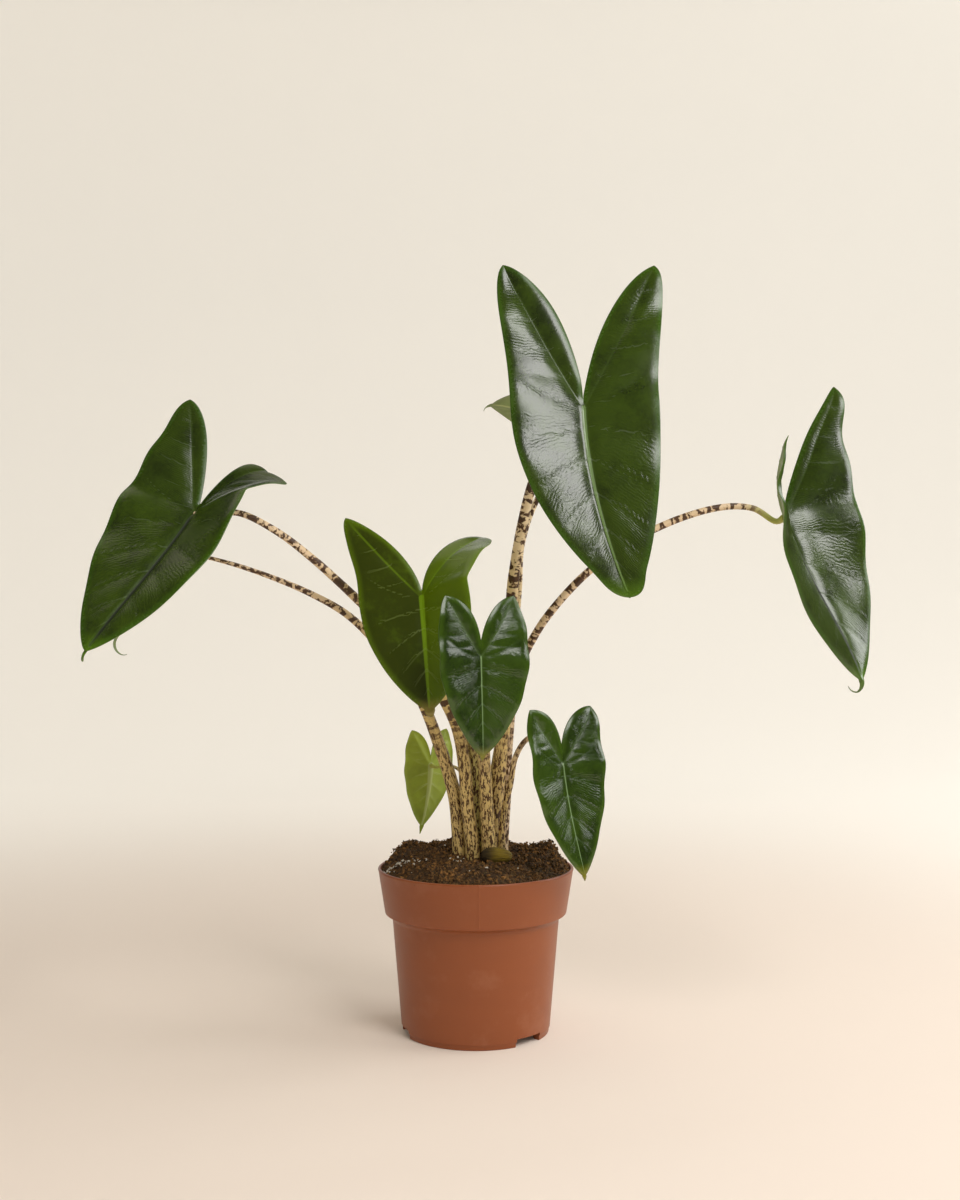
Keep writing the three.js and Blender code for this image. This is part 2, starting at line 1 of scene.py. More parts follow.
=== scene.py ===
"""Looks of the potted alocasia zebrina, built round the packed model.

Sizes in the tables are millimetres in the model's own axes: +Z up, -Y to the front, the origin on the pot's axis at
the level that it stands on. Pieces are computed in millimetres, and their meshes are made in metres.
"""

import itertools

import bpy
import numpy as np
from bpy.props import FloatProperty, FloatVectorProperty, IntProperty, PointerProperty
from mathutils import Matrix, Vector


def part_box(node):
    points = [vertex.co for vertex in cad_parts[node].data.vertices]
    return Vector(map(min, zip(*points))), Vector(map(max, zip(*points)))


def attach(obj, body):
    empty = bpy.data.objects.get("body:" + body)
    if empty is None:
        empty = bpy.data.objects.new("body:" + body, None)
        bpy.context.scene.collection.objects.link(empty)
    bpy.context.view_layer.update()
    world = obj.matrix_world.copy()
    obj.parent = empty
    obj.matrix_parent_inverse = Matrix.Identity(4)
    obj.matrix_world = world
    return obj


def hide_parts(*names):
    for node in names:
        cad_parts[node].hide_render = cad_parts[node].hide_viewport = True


bl_info = {
    "name": "Potted alocasia zebrina",
    "version": (1, 0, 0),
    "blender": (4, 5, 0),
    "location": "View3D > Sidebar > Plant",
    "description": "Builds the blades, stalks, soil and pot of the potted plant round its packed model",
    "category": "Object",
}

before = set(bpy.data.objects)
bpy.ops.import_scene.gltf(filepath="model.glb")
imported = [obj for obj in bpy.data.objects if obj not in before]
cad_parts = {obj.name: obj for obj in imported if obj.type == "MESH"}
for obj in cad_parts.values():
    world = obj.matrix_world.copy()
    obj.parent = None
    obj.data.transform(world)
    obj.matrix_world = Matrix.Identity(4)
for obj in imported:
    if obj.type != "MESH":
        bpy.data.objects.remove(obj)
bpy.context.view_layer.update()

MM = 0.001
FULL_TURN = 2 * np.pi
BODY = "root"
IMAGE_HEIGHT = 1200
SENSOR = 36.0
TINY = 1e-6

# Outlines of a blade, as shares of its length and half width
BROAD = {"sinus_depth": 0.06, "sinus_width": 0.55, "lobe_tip": 0.11, "fullness": 0.68}
ROUND = {"sinus_depth": 0.08, "sinus_width": 0.42, "lobe_tip": 0.11, "fullness": 0.74}
NARROW = {"sinus_depth": 0.02, "sinus_width": 0.25, "lobe_tip": 0.1, "fullness": 0.74}
SHORT = {"sinus_depth": 0.14, "sinus_width": 0.52, "lobe_tip": 0.14, "fullness": 0.77}

# The words that describe a leaf. Pairs give the left half, then the right, and angles are degrees. The stalk meets the
# blade at "at", the blade's tip and the lobes' tips are length and lobe from there, half_width is the widest half and
# splay the angle between a lobe and the midrib's line. heading, hang and roll turn the blade. bend and nod arch its
# midrib down, nod mostly at the tip, and sweep sideways. fold, lobe_fold and tip_fold are how steeply the halves rise
# at the stalk, on the lobes and at the tip. curl and hook arch the lobes down, hook mostly at their tips, and droop
# lets the margins sink. drip is the length, curl and width of the thread at the tip. base is the stalk's place on the
# corm, radii its radii at both ends, and stalk the points that it runs through. These are the values of the words that
# a leaf may leave out:
PLAIN_LEAF = {
    "outline": SHORT, "curl": (0, 0), "hook": (0, 0), "droop": 0.05,
    # How fast the stalk grows thinner, its colours at the soil and at the blade
    "taper": 1, "tints": ("straw", "pink"),
    # How blunt the lobes and the blade's end are, how far the margins roll, and how steeply the lobes rise to the sinus
    "blunt": (1, 1), "blunt_end": 0, "rolled": (1, 1), "flap": (0.3, 0.3),
    # 1 for a midrib that lies in a groove, the wax of each half at its lobe and at its tip, and the brightness of each
    # half: its own green, and painted light and shade where one half is painted brighter than the other
    "sunken": 0, "gloss": ((0.6, 0.6), (0.6, 0.6)), "tone": (0.3, 0.3),
    # Slopes that a half's skin has more than its sheet: along and across the lobe, then along and across the rest; and
    # the slope across that is added towards the margin
    "lean": ((0, 0, 0, 0), (0, 0, 0, 0)), "edge_lean": (0, 0),
    # The finish below, for the wrinkles and the material; a leaf may name another finish for its material
    "look": "blade",
}
LEAF_FORMS = {
    "crown": {
        "outline": BROAD, "at": (62, -60, 374), "length": 113, "half_width": 44, "lobe": (99, 99), "splay": 28,
        "heading": -86, "hang": 71, "roll": 7, "bend": 7, "nod": 10, "sweep": -21, "fold": (14, 19),
        "lobe_fold": (12, 22), "tip_fold": 8, "curl": (4, 0), "drip": (0.3, 0, 1), "blunt": (1.1, 1.1),
        "blunt_end": 1, "rolled": (0.3, 1), "flap": (-0.1, 0.75),
        "base": (10.2, 0.6), "radii": (4.9, 2.3), "taper": 0.8, "tints": ("straw", "cream"),
        "stalk": ((13, 0, 144), (15, -1, 168), (19, -3, 202), (22, -6, 233), (22, -10, 266), (26, -15, 297),
                  (33, -24, 330), (42, -35, 352), (54, -47, 367)),
        "gloss": ((0.9, 0.9), (0.8, 0.9)), "tone": (0.55, 0.35),
    },
    "left": {
        "outline": ROUND, "at": (-161.5, -60, 314), "length": 113, "half_width": 43, "lobe": (77, 87), "splay": 21,
        "heading": -110, "hang": 40, "roll": -8, "bend": 2, "nod": 12, "sweep": 15, "fold": (33, 18),
        "lobe_fold": (-45, 20), "tip_fold": -4, "curl": (-23, -26), "hook": (70, 0), "droop": 0.03,
        "drip": (15, 190, 2), "blunt": (1.5, 1.25), "flap": (0.1, 0.1),
        "base": (-1.8, -8.6), "radii": (4.6, 1.5),
        "stalk": ((-5, -9, 139), (-7, -9, 164), (-11, -9, 185), (-18, -10, 201), (-29, -12, 218), (-47, -16, 240),
                  (-72, -22, 265), (-98, -28, 289), (-119, -33, 305), (-140, -38, 315), (-153, -45, 313)),
        "sunken": 1, "gloss": ((0.9, 1.0), (0.9, 1.0)), "tone": (0.5, 0.5),
        "lean": ((-0.5, -0.4, 0, 0), (-0.45, 0, 0, 0)), "finish": "blade_dark",
    },
    "right": {
        "outline": NARROW, "at": (184, -30, 313), "length": 107, "half_width": 49, "lobe": (96, 76), "splay": 39,
        "heading": -38, "hang": 70, "roll": 11, "bend": -30, "nod": 34, "sweep": -4, "fold": (34, 39),
        "lobe_fold": (33, 46), "tip_fold": -3, "curl": (0, -58), "hook": (-6, 3), "droop": 0.04,
        "drip": (19, 170, 5), "flap": (0.0, 0.2),
        "base": (17.2, 4.6), "radii": (2.9, 1.6), "taper": 0.6, "tints": ("pink", "green"),
        "stalk": ((19, 5, 143), (20, 5, 171), (23, 5, 202), (28, 3, 224), (34, 0, 238), (47, -6, 258),
                  (71, -12, 283), (107, -18, 306), (145, -20, 319), (167, -18, 319)),
        "sunken": 1, "gloss": ((0.9, 0.85), (0.2, 0.2)), "tone": (0.45, 0.6),
        "lean": ((0.12, -0.5, 0, 0), (0, -0.4, -0.5, -0.7)), "edge_lean": (-0.35, 0),
    },
    "middle": {
        "outline": ROUND, "at": (-31, -50, 265), "length": 68, "half_width": 37, "lobe": (65, 68), "splay": 39,
        "heading": -79, "hang": 67, "roll": 19, "bend": 4, "nod": 7, "sweep": 1, "fold": (37, 14),
        "lobe_fold": (-40, 17), "tip_fold": 10, "curl": (24, 1), "hook": (5, 0), "droop": 0.04,
        "drip": (8, 140, 6), "flap": (0.1, 0.1),
        "base": (0.2, 1.7), "radii": (4.8, 1.9), "taper": 0.8, "tints": ("yellow", "pink"),
        "stalk": ((0, 1, 147), (-2, -3, 178), (-9, -14, 209), (-18, -26, 234), (-25, -35, 252)),
        "gloss": ((0.8, 0.6), (0.8, 0.7)), "tone": (1.2, 0.0),
        "lean": ((0, -0.1, 0, -0.1), (0, -0.22, 0, -0.22)), "look": "blade_young",
    },
    "front": {
        "at": (3, -85, 232), "length": 56, "half_width": 29, "lobe": (41, 41), "splay": 34,
        "heading": -59, "hang": 88, "roll": 0, "bend": 2, "nod": 8, "sweep": -4, "fold": (18, 12),
        "lobe_fold": (3, 6), "tip_fold": 12, "curl": (7, 0), "hook": (2, 0), "drip": (3, 30, 3), "flap": (0.3, 0.4),
        "base": (8, -10.6), "radii": (4.9, 1.7), "taper": 0.8,
        "stalk": ((6, -13, 149), (5, -20, 176), (6, -36, 202), (4, -58, 219)),
        "gloss": ((1.0, 0.8), (1.0, 0.9)), "tone": (0.5, 0.2), "look": "blade_bluish",
    },
    "low_right": {
        "at": (51, -45, 168), "length": 66, "half_width": 28, "lobe": (42, 42), "splay": 39,
        "heading": -50, "hang": 81, "roll": 1, "bend": -8, "nod": 10, "sweep": -11, "fold": (20, 14),
        "lobe_fold": (6, 12), "tip_fold": 6, "curl": (5, -5), "hook": (2, 0), "drip": (3, 20, 3), "flap": (0.2, 0.3),
        "base": (15.3, -6.6), "radii": (2.2, 1.3),
        "stalk": ((17, -8, 133), (21, -9, 151), (24, -12, 168), (30, -18, 179), (37, -25, 183), (43, -32, 179)),
        "gloss": ((1.0, 0.9), (1.0, 0.9)), "tone": (0.3, 0.5), "look": "blade_bluish",
    },
    "low_left": {
        "at": (-29, 35, 158), "length": 39, "half_width": 18, "lobe": (27, 27), "splay": 32,
        "heading": 125, "hang": 86, "roll": 0, "bend": -5, "nod": 5, "sweep": -14, "fold": (16, 8),
        "lobe_fold": (14, 15), "tip_fold": 8, "curl": (5, -13), "drip": (5, 0, 3),
        "base": (-3.8, 9.4), "radii": (1.8, 0.8), "tints": ("cream", "green"),
        "stalk": ((-5, 12, 139), (-7, 15, 152), (-12, 20, 158), (-20, 25, 159)), "look": "blade_young",
    },
    "back_left": {
        "at": (-182, -6, 297), "length": 78, "half_width": 29, "lobe": (50, 50), "splay": 30,
        "heading": 150, "hang": 46, "roll": -14, "bend": 2, "nod": 3, "sweep": 0, "fold": (12, 12),
        "lobe_fold": (10, 10), "tip_fold": 8, "drip": (18, 150, 3),
        "base": (-9.8, -1), "radii": (5.2, 1), "taper": 1.2,
        "stalk": ((-12, -1, 138), (-16, -1, 155), (-23, -1, 176), (-31, -2, 197), (-44, -3, 220), (-59, -4, 236),
                  (-79, -5, 255), (-104, -5, 269), (-137, -6, 282), (-161, -6, 289)),
    },
    "back": {
        "at": (66, 22, 359), "length": 66, "half_width": 31, "lobe": (44, 44), "splay": 28,
        "heading": 168, "hang": -42, "roll": 40, "bend": 20, "nod": 40, "sweep": 0, "fold": (14, 14),
        "lobe_fold": (10, 10), "tip_fold": 5, "curl": (10, 10), "drip": (8, 60, 3),
        "base": (6, 10.4), "radii": (3.4, 1.5), "tints": ("straw", "cream"),
        "stalk": ((10, 12, 145), (15, 13, 176), (20, 14, 208), (23.5, 12, 239), (26.5, 9, 270), (28.5, 10, 298),
                  (38, 14, 326), (52, 17, 346)),
    },
}
LEAVES = {name: {**PLAIN_LEAF, **form} for name, form in LEAF_FORMS.items()}

# Levels that every stalk passes straight up, and the length of its straight end under the blade
CORM_TOP = 86.3
SOIL_CLEAR = 110
NECK = 7
SEAT = 0.3

# Finish of each kind of blade: screen colours from 0 to 255, the roughness, the depth of the wrinkles, the strength of
# the mirror-like part of the light, the share of the pale colour in the side veins and the lobes' ribs, and the
# midrib's width in millimetres
BLADE_FINISHES = {
    "blade": {
        "deep": (33, 45, 8), "bright": (52, 70, 10), "vein": (72, 94, 42), "rib": (104, 130, 72),
        "edge": (58, 92, 6), "tip": (78, 112, 8), "under": (128, 146, 84), "roughness": 0.22, "wrinkle": 0.38,
        "specular": 0.66, "vein_share": 0.28, "lobe_rib": 0.12, "rib_width": 1.7,
    },
    "blade_bluish": {
        "deep": (29, 45, 7), "bright": (47, 68, 11), "vein": (60, 86, 48), "rib": (118, 142, 98),
        "edge": (58, 84, 8), "tip": (122, 112, 24), "under": (118, 142, 84), "roughness": 0.17, "wrinkle": 0.5,
        "specular": 0.5, "vein_share": 0.3, "lobe_rib": 0.15, "rib_width": 0.75,
    },
    "blade_young": {
        "deep": (52, 62, 6), "bright": (82, 104, 4), "vein": (118, 138, 44), "rib": (112, 146, 14),
        "edge": (92, 118, 12), "tip": (146, 126, 66), "under": (150, 166, 50), "roughness": 0.2, "wrinkle": 0.12,
        "specular": 0.45, "vein_share": 0.35, "lobe_rib": 0.5, "rib_width": 2.4,
    },
}
BLADE_FINISHES["blade_dark"] = {**BLADE_FINISHES["blade"], "specular": 0.55}
STALK_TINTS = {
    "cream": (236, 214, 178), "pink": (222, 196, 162), "yellow": (206, 194, 116), "green": (172, 178, 84),
    "straw": (206, 178, 112),
}


def linear(color):
    """Screen colour from 0 to 255 as linear light."""
    share = np.array(color, float) / 255
    return tuple(np.where(share <= 0.04045, share / 12.92, ((share + 0.055) / 1.055) ** 2.4))


def opaque(color):
    return (*linear(color), 1.0)


def length_property(name, description, default):
    return FloatProperty(name=name, description=description, subtype="DISTANCE", unit="LENGTH", default=default)


def power_property(name, description, default):
    return FloatProperty(name=name, description=description, subtype="POWER", unit="POWER", default=default)


def color_property(name, description, default):
    return FloatVectorProperty(name=name, description=description, subtype="COLOR", size=3, min=0, max=1,
                               default=linear(default))


class PotSettings(bpy.types.PropertyGroup):
    """Sizes and colour of the nursery pot."""

    rim_radius: length_property("Rim radius", "Outer radius at the top of the band", 0.060)
    base_radius: length_property("Base radius", "Outer radius of the foot", 0.0452)
    height: length_property("Height", "Height of the rim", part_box("pot")[1].z)
    band_height: length_property("Band height", "Height of the wide band under the rim", 0.027)
    wall: length_property("Wall", "Thickness of the wall", 0.0018)
    sides: IntProperty(name="Sides", description="Faces round the pot", default=192, min=24)
    color: color_property("Colour", "Colour of the moulded plastic", (136, 70, 30))


class SoilSettings(bpy.types.PropertyGroup):
    """Sizes and colour of the potting mix."""

    edge_height: length_property("Edge height", "Height of the soil at the pot's wall", 0.098)
    dome_height: length_property("Dome height", "Rise of the soil towards the stalks", 0.008)
    crumbs: IntProperty(name="Crumbs", description="Loose crumbs on the surface", default=5200, min=0)
    fibres: IntProperty(name="Fibres", description="Loose fibres on the surface", default=420, min=0)
    color: color_property("Colour", "Colour of the damp peat", (58, 39, 20))


class BladeSettings(bpy.types.PropertyGroup):
    """Form of every blade."""

    thickness: length_property("Thickness", "Thickness of a blade between its ribs", 0.0008)
    rib_height: length_property("Rib height", "Height of the midrib under a blade 100 mm long", 0.0013)
    quilt_height: length_property("Quilting", "Rise of the blade between its side veins", 0.0007)
    roll_width: length_property("Rolled margin", "Width of the band that rolls down at the margin", 0.0045)
    roll_slope: FloatProperty(name="Roll", description="Slope of the blade at its very margin", default=0.38)
    columns: IntProperty(name="Columns", description="Faces across half a blade", default=30, min=12)


class StalkSettings(bpy.types.PropertyGroup):
    """Form and colour of every stalk."""

    sides: IntProperty(name="Sides", description="Faces round a stalk", default=22, min=6)
    ring_step: length_property("Ring step", "Length of a face along a stalk", 0.0016)
    band_color: color_property("Band colour", "Colour of the zebra bands", (62, 38, 22))


class StageSettings(bpy.types.PropertyGroup):
    """Camera, light and surroundings."""

    focal_pixels: FloatProperty(name="Focal length", description="Focal length in pixels of the photograph",
                                default=1450)
    camera_place: FloatVectorProperty(name="Camera", description="Place of the camera", subtype="TRANSLATION",
                                      unit="LENGTH", default=(0.0026, -0.892, 0.2637))
    # The floor near the plant is painted darker and warmer than the paper further out, as painted shade round the plant
    floor: color_property("Floor", "Colour of the floor near the plant", (231, 218, 206))
    paper: color_property("Paper", "Colour of the sweep", (236, 232, 225))
    glow: color_property("Glow colour", "Colour of the light that the paper adds of its own", (255, 249, 238))
    paper_glow: FloatProperty(name="Paper glow", description="Light that the paper adds of its own", default=0.18)
    front_power: power_property("Front light", "Power of the soft light in front on the right", 8.7)
    side_power: power_property("Side light", "Power of the large soft light at the right side", 11.2)
    fill_power: power_property("Fill light", "Power of the soft light above on the left", 2.4)
    wall_power: power_property("Wall light", "Power of the light that is turned to the back wall", 7.5)


def method(operation):
    return lambda first, second: first.graph.math(operation, first, second)


def swapped_method(operation):
    return lambda second, first: second.graph.math(operation, first, second)


class Socket:
    """A shader node's output that takes part in Python expressions, each of which adds a Math node."""

    __add__ = __radd__ = method("ADD")
    __mul__ = __rmul__ = method("MULTIPLY")
    __sub__, __rsub__ = method("SUBTRACT"), swapped_method("SUBTRACT")

    def __init__(self, graph, link):
        self.graph = graph
        self.link = link

    def __abs__(self):
        return self.graph.math("ABSOLUTE", self)


class Graph:
    """A material's nodes, with its Principled shader."""

    def __init__(self, name, **constants):
        self.material = bpy.data.materials.new(name)
        self.material.use_nodes = True
        self.tree = self.material.node_tree
        self.tree.nodes.clear()
        output = self.tree.nodes.new("ShaderNodeOutputMaterial")
        self.shader = self.tree.nodes.new("ShaderNodeBsdfPrincipled")
        self.tree.links.new(self.shader.outputs[0], output.inputs[0])
        self.set(**constants)

    def set(self, **values):
        """Sets or links sockets of the shader; an underscore stands for a space. Gives the material."""
        for name, value in values.items():
            self.fill(self.shader.inputs[name.replace("_", " ")], value)
        return self.material

    def fill(self, socket, value):
        if isinstance(value, Socket):
            self.tree.links.new(value.link, socket)
        else:
            socket.default_value = value

    def node(self, kind, settings=None, sockets=None, output=0):
        """Adds a node: its settings first, then the values or links of its sockets."""
        node = self.tree.nodes.new(kind)
        for name, value in (settings or {}).items():
            setattr(node, name, value)
        for name, value in (sockets or {}).items():
            self.fill(node.inputs[name], value)
        return Socket(self, node.outputs[output])

    def math(self, operation, *values):
        return self.node("ShaderNodeMath", {"operation": operation}, dict(enumerate(values)))

    def vector_math(self, operation, *values):
        return self.node("ShaderNodeVectorMath", {"operation": operation}, dict(enumerate(values)))

    def attribute(self, name, output=1):
        return self.node("ShaderNodeAttribute", {"attribute_name": name}, output=output)

    def place(self):
        return self.node("ShaderNodeTexCoord", output="Object")

    def parts(self, vector):
        """The three numbers of a vector."""
        return [self.node("ShaderNodeSeparateXYZ", sockets={0: vector}, output=axis) for axis in range(3)]

    def vector(self, *parts):
        return self.node("ShaderNodeCombineXYZ", sockets=dict(enumerate(parts)))

    def noise(self, vector, scale, detail=3.0, roughness=0.55, distortion=0.0):
        return self.node("ShaderNodeTexNoise", sockets={
            "Vector": vector, "Scale": scale, "Detail": detail, "Roughness": roughness, "Distortion": distortion})

    def streaks(self, vector, scales, shift=(0, 0, 0), **noise):
        """Noise with its own scale along each axis."""
        return self.noise(self.node("ShaderNodeMapping", sockets={
            "Vector": vector, "Scale": scales, "Location": shift}), 1.0, **noise)

    def cells(self, vector, scale):
        return self.node("ShaderNodeTexVoronoi", sockets={"Vector": vector, "Scale": scale})

    def smooth(self, value, low, high):
        """0 below low, 1 above high and a smooth step between them."""
        return self.node("ShaderNodeMapRange", {"interpolation_type": "SMOOTHSTEP"},
                         {"Value": value, "From Min": low, "From Max": high})

    def line(self, distance, width):
        """1 on a line, falling to 0 at its width."""
        return 1 - self.smooth(distance, 0.35 * width, width)

    def mix(self, share, first, second):
        """Blends two colours: links, linear colours with an alpha, or screen colours from 0 to 255."""
        first, second = (opaque(color) if isinstance(color, tuple) and len(color) == 3 else color
                         for color in (first, second))
        return self.node("ShaderNodeMix", {"data_type": "RGBA"}, {0: share, 6: first, 7: second}, output=2)

    def bump(self, height, distance, strength=1.0, **normal):
        return self.node("ShaderNodeBump", sockets={
            "Height": height, "Distance": distance, "Strength": strength, **normal})


def mix(first, second, share):
    return first + (second - first) * share


def smoothstep(value, low, high):
    share = np.clip((value - low) / (high - low), 0, 1)
    return share * share * (3 - 2 * share)


def ridge(distance, width):
    """1 on a line, falling off on both sides with the square of distance over width."""
    return np.exp(-((distance / width) ** 2))


def unit(vectors):
    """Vectors along the last axis, made one long; those without a length stay as they are."""
    lengths = np.linalg.norm(vectors, axis=-1, keepdims=True)
    return vectors / np.where(lengths > 0, lengths, 1)


def lattice_noise(points, cell, seed=0):
    """Smooth noise from -1 to 1: hashed values on a lattice of that cell, blended by smoothsteps between its
    corners."""
    place = np.asarray(points, float) / cell
    low = np.floor(place).astype(np.int64)
    part = place - low
    part = part * part * (3 - 2 * part)
    primes = np.array([73856093, 19349663, 83492791])[: place.shape[-1]]
    total = np.zeros(place.shape[:-1])
    for corner in itertools.product((0, 1), repeat=place.shape[-1]):
        corner = np.array(corner)
        key = np.bitwise_xor.reduce((low + corner) * primes, axis=-1) + seed * 2654435761
        key = (key ^ (key >> 13)) * 1274126177 & 0xFFFFFFFF
        key = (key ^ (key >> 16)) * 2246822519 & 0xFFFFFFFF
        weight = np.prod(np.where(corner == 1, part, 1 - part), axis=-1)
        total += weight * (key / 0x7FFFFFFF - 1)
    return total


def new_object(name, points, faces, material=None, attributes=None, smooth=True):
    """An object at the origin from points in metres and faces of three or four corners, without the points that no
    face has. Attributes are vectors, one to each point."""
    mesh = bpy.data.meshes.new(name)
    faces = np.reshape(faces, (-1, np.shape(faces)[-1]))
    used, corners = np.unique(faces, return_inverse=True)
    mesh.vertices.add(len(used))
    mesh.vertices.foreach_set("co", np.reshape(points, (-1, 3))[used].astype(np.float32).ravel())
    mesh.loops.add(faces.size)
    mesh.loops.foreach_set("vertex_index", corners.astype(np.int32).ravel())
    mesh.polygons.add(len(faces))
    mesh.polygons.foreach_set("loop_start", np.arange(0, faces.size, faces.shape[1], dtype=np.int32))
    mesh.update(calc_edges=True)
    for key, values in (attributes or {}).items():
        layer = mesh.attributes.new(key, "FLOAT_VECTOR", "POINT")
        layer.data.foreach_set("vector", np.reshape(values, (-1, 3))[used].astype(np.float32).ravel())
    mesh.polygons.foreach_set("use_smooth", np.full(len(faces), smooth))
    if material:
        mesh.materials.append(material)
    item = bpy.data.objects.new(name, mesh)
    bpy.context.scene.collection.objects.link(item)
    return item


def new_piece(name, points, faces, material, nodes=(), attributes=None, smooth=True):
    """A visible piece from points in millimetres, in the place of the solids of some nodes."""
    piece = new_object(name, np.asarray(points) * MM, faces, material, attributes, smooth)
    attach(piece, BODY)
    if nodes:
        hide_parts(*nodes)
    return piece


def grid_triangles(index):
    """Two triangles to each cell of a grid of point numbers, without the flat ones at a pole."""
    a, b, c, d = index[:-1, :-1], index[1:, :-1], index[1:, 1:], index[:-1, 1:]
    both = np.concatenate([np.stack([a, b, c], -1).reshape(-1, 3), np.stack([a, c, d], -1).reshape(-1, 3)])
    flat = (both[:, 0] == both[:, 1]) | (both[:, 1] == both[:, 2]) | (both[:, 2] == both[:, 0])
    return both[~flat]


def round_index(rows, sides, pole_start=True, pole_end=True):
    """Point numbers of rows of a round surface, whose last column meets its first. A pole is one point."""
    index = np.arange(rows * sides).reshape(rows, sides)
    index = np.concatenate([index, index[:, :1]], axis=1)
    if pole_start:
        index[0] = index[0, 0]
    if pole_end:
        index[-1] = index[-1, 0]
    return index


def round_faces(rows, sides, pole_start=True, pole_end=True):
    return grid_triangles(round_index(rows, sides, pole_start, pole_end))


def round_points(radius, angle, height):
    """Points [row, side] about the upright axis."""
    return np.stack([radius * np.cos(angle), radius * np.sin(angle), height + 0 * angle], -1)


def turn_about(angle, x, y):
    """Both coordinates after a turn about the upright axis by an angle in degrees."""
    cos, sin = np.cos(np.radians(angle)), np.sin(np.radians(angle))
    return x * cos - y * sin, x * sin + y * cos


def cubic(points, share):
    """Points of a cubic Bezier curve: the four points weighted by the Bernstein terms of share."""
    rest = 1 - share
    weights = np.stack([rest**3, 3 * rest * rest * share, 3 * rest * share * share, share**3], -1)
    return weights @ np.array(points, float)


def quadratic(points, share):
    """Points of a quadratic Bezier curve: the three points weighted by the Bernstein terms of share."""
    rest = 1 - share
    weights = np.stack([rest * rest, 2 * rest * share, share * share], -1)
    return weights @ np.array(points, float)


def lobe_axes(leaf):
    """Directions in a flat blade, as (along, across): out along a lobe, and from its rib to the outer margin."""
    angle = np.radians(leaf["splay"])
    return np.array([-np.cos(angle), np.sin(angle)]), np.array([np.sin(angle), np.cos(angle)])


def lobe_edges(leaf, half):
    """Control points of a lobe's inner edge, tip to sinus, and of its outer edge, tip to shoulder."""
    outline, lobe = leaf["outline"], leaf["lobe"][half]
    axis, outward = lobe_axes(leaf)
    tip = axis * lobe
    sinus = (-outline["sinus_depth"] * leaf["length"], 0)
    shoulder = (0, leaf["half_width"])
    bulge = outline["lobe_tip"] * leaf["blunt"][half] * lobe
    inner = (tip, tip + (0.1 * lobe, 0) - 1.2 * bulge * outward, (sinus[0] - outline["sinus_width"] * lobe, 0.1 * lobe),
             sinus)
    outer = (tip, tip + (0.05 * lobe, 0) + bulge * outward, (-0.4 * lobe, shoulder[1]), shoulder)
    return inner, outer


LOBE_ROWS, FRONT_ROWS, DRIP_ROWS, FLAP_COLUMNS = 64, 72, 10, 11
SINUS_SHARE = 0.88
# Distances of the first columns from a rib, in millimetres, and the share of the width that they may take
RIB_COLUMNS, RIB_REACH = np.array([0, 0.4, 0.8, 1.25, 1.8, 2.5, 3.4]), 0.3
RIB_BOW = 0.03
# Powers that crowd the rows towards a lobe's tip and the columns towards the margins
LOBE_CROWDING, FLAP_CROWDING, MARGIN_CROWDING = 1.4, 1.3, 1.35
# A blunt end: the power that makes its outline an ellipse, and the shares of the length over which it takes over
BLUNT_FULLNESS, BLUNT_FROM, BLUNT_TO = 0.5, 0.85, 1.03


def lobe_rib(leaf, half, share):
    """Points of a lobe's rib from the lobe's tip at 0 to the stalk at 1: a line that bows a little outwards."""
    lobe = leaf["lobe"][half]
    axis, outward = lobe_axes(leaf)
    return quadratic([axis * lobe, axis * lobe * 0.5 + outward * lobe * RIB_BOW, [0, 0]], share)


def across_columns(first, last, columns):
    """Rows of points from first to last: the first few at set distances, to draw the rib, the rest closer and closer
    towards the margin."""
    width = np.linalg.norm(last - first, axis=-1)[:, None]
    near = RIB_COLUMNS * np.minimum(1, RIB_REACH * width / RIB_COLUMNS[-1])
    others = columns - len(RIB_COLUMNS) + 1
    rest = 1 - (1 - np.arange(1, others + 1) / others) ** MARGIN_CROWDING
    far = near[:, -1:] + (width - near[:, -1:]) * rest
    share = np.concatenate([near, far], axis=1) / np.maximum(width, 1e-9)
    return mix(first[:, None], last[:, None], share[..., None])


def flat_half(leaf, half, columns):
    """Half a flat blade as [along, across] in two sheets and its margin. The main sheet runs from the lobe's rib or
    the midrib to the outer margin, whose half width is that of the blade times cos(share)^fullness, and along the drip
    tip; the flap runs from the lobe's rib to the sinus."""
    inner, outer = lobe_edges(leaf, half)
    steps = np.linspace(0, 1, LOBE_ROWS + 1) ** LOBE_CROWDING
    rib = lobe_rib(leaf, half, steps)
    to_sinus = np.minimum(steps / SINUS_SHARE, 1)
    beyond = np.maximum(steps - SINUS_SHARE, 0) / (1 - SINUS_SHARE)
    sinus = cubic(inner, to_sinus) * (1 - beyond)[:, None]
    share = np.sin(np.linspace(0, np.pi / 2, FRONT_ROWS + 1))[1:]
    drip_length, _, drip_width = leaf["drip"]
    blunt = leaf["blunt_end"] * smoothstep(share, BLUNT_FROM, BLUNT_TO)
    power = mix(leaf["outline"]["fullness"], BLUNT_FULLNESS, blunt)
    fullness = np.abs(np.cos(share * np.pi / 2)) ** power
    width = np.maximum(leaf["half_width"] * fullness, drip_width / 2)
    drip = np.linspace(0, 1, DRIP_ROWS + 1)[1:]
    along = np.concatenate([leaf["length"] * share, leaf["length"] + drip_length * drip])
    taper = np.sqrt(1 - drip**2) if drip_length < drip_width else 1 - drip
    width = np.concatenate([width, drip_width / 2 * taper])
    first = np.concatenate([rib, np.stack([along, 0 * along], -1)])
    last = np.concatenate([cubic(outer, steps), np.stack([along, width], -1)])
    columns_out = 1 - (1 - np.linspace(0, 1, FLAP_COLUMNS + 1)) ** FLAP_CROWDING
    flap = mix(rib[:, None], sinus[:, None], columns_out[None, :, None])
    margin = np.concatenate([sinus[: np.argmax(steps >= SINUS_SHARE) + 1][::-1], last])
    return across_columns(first, last, columns), flap, margin


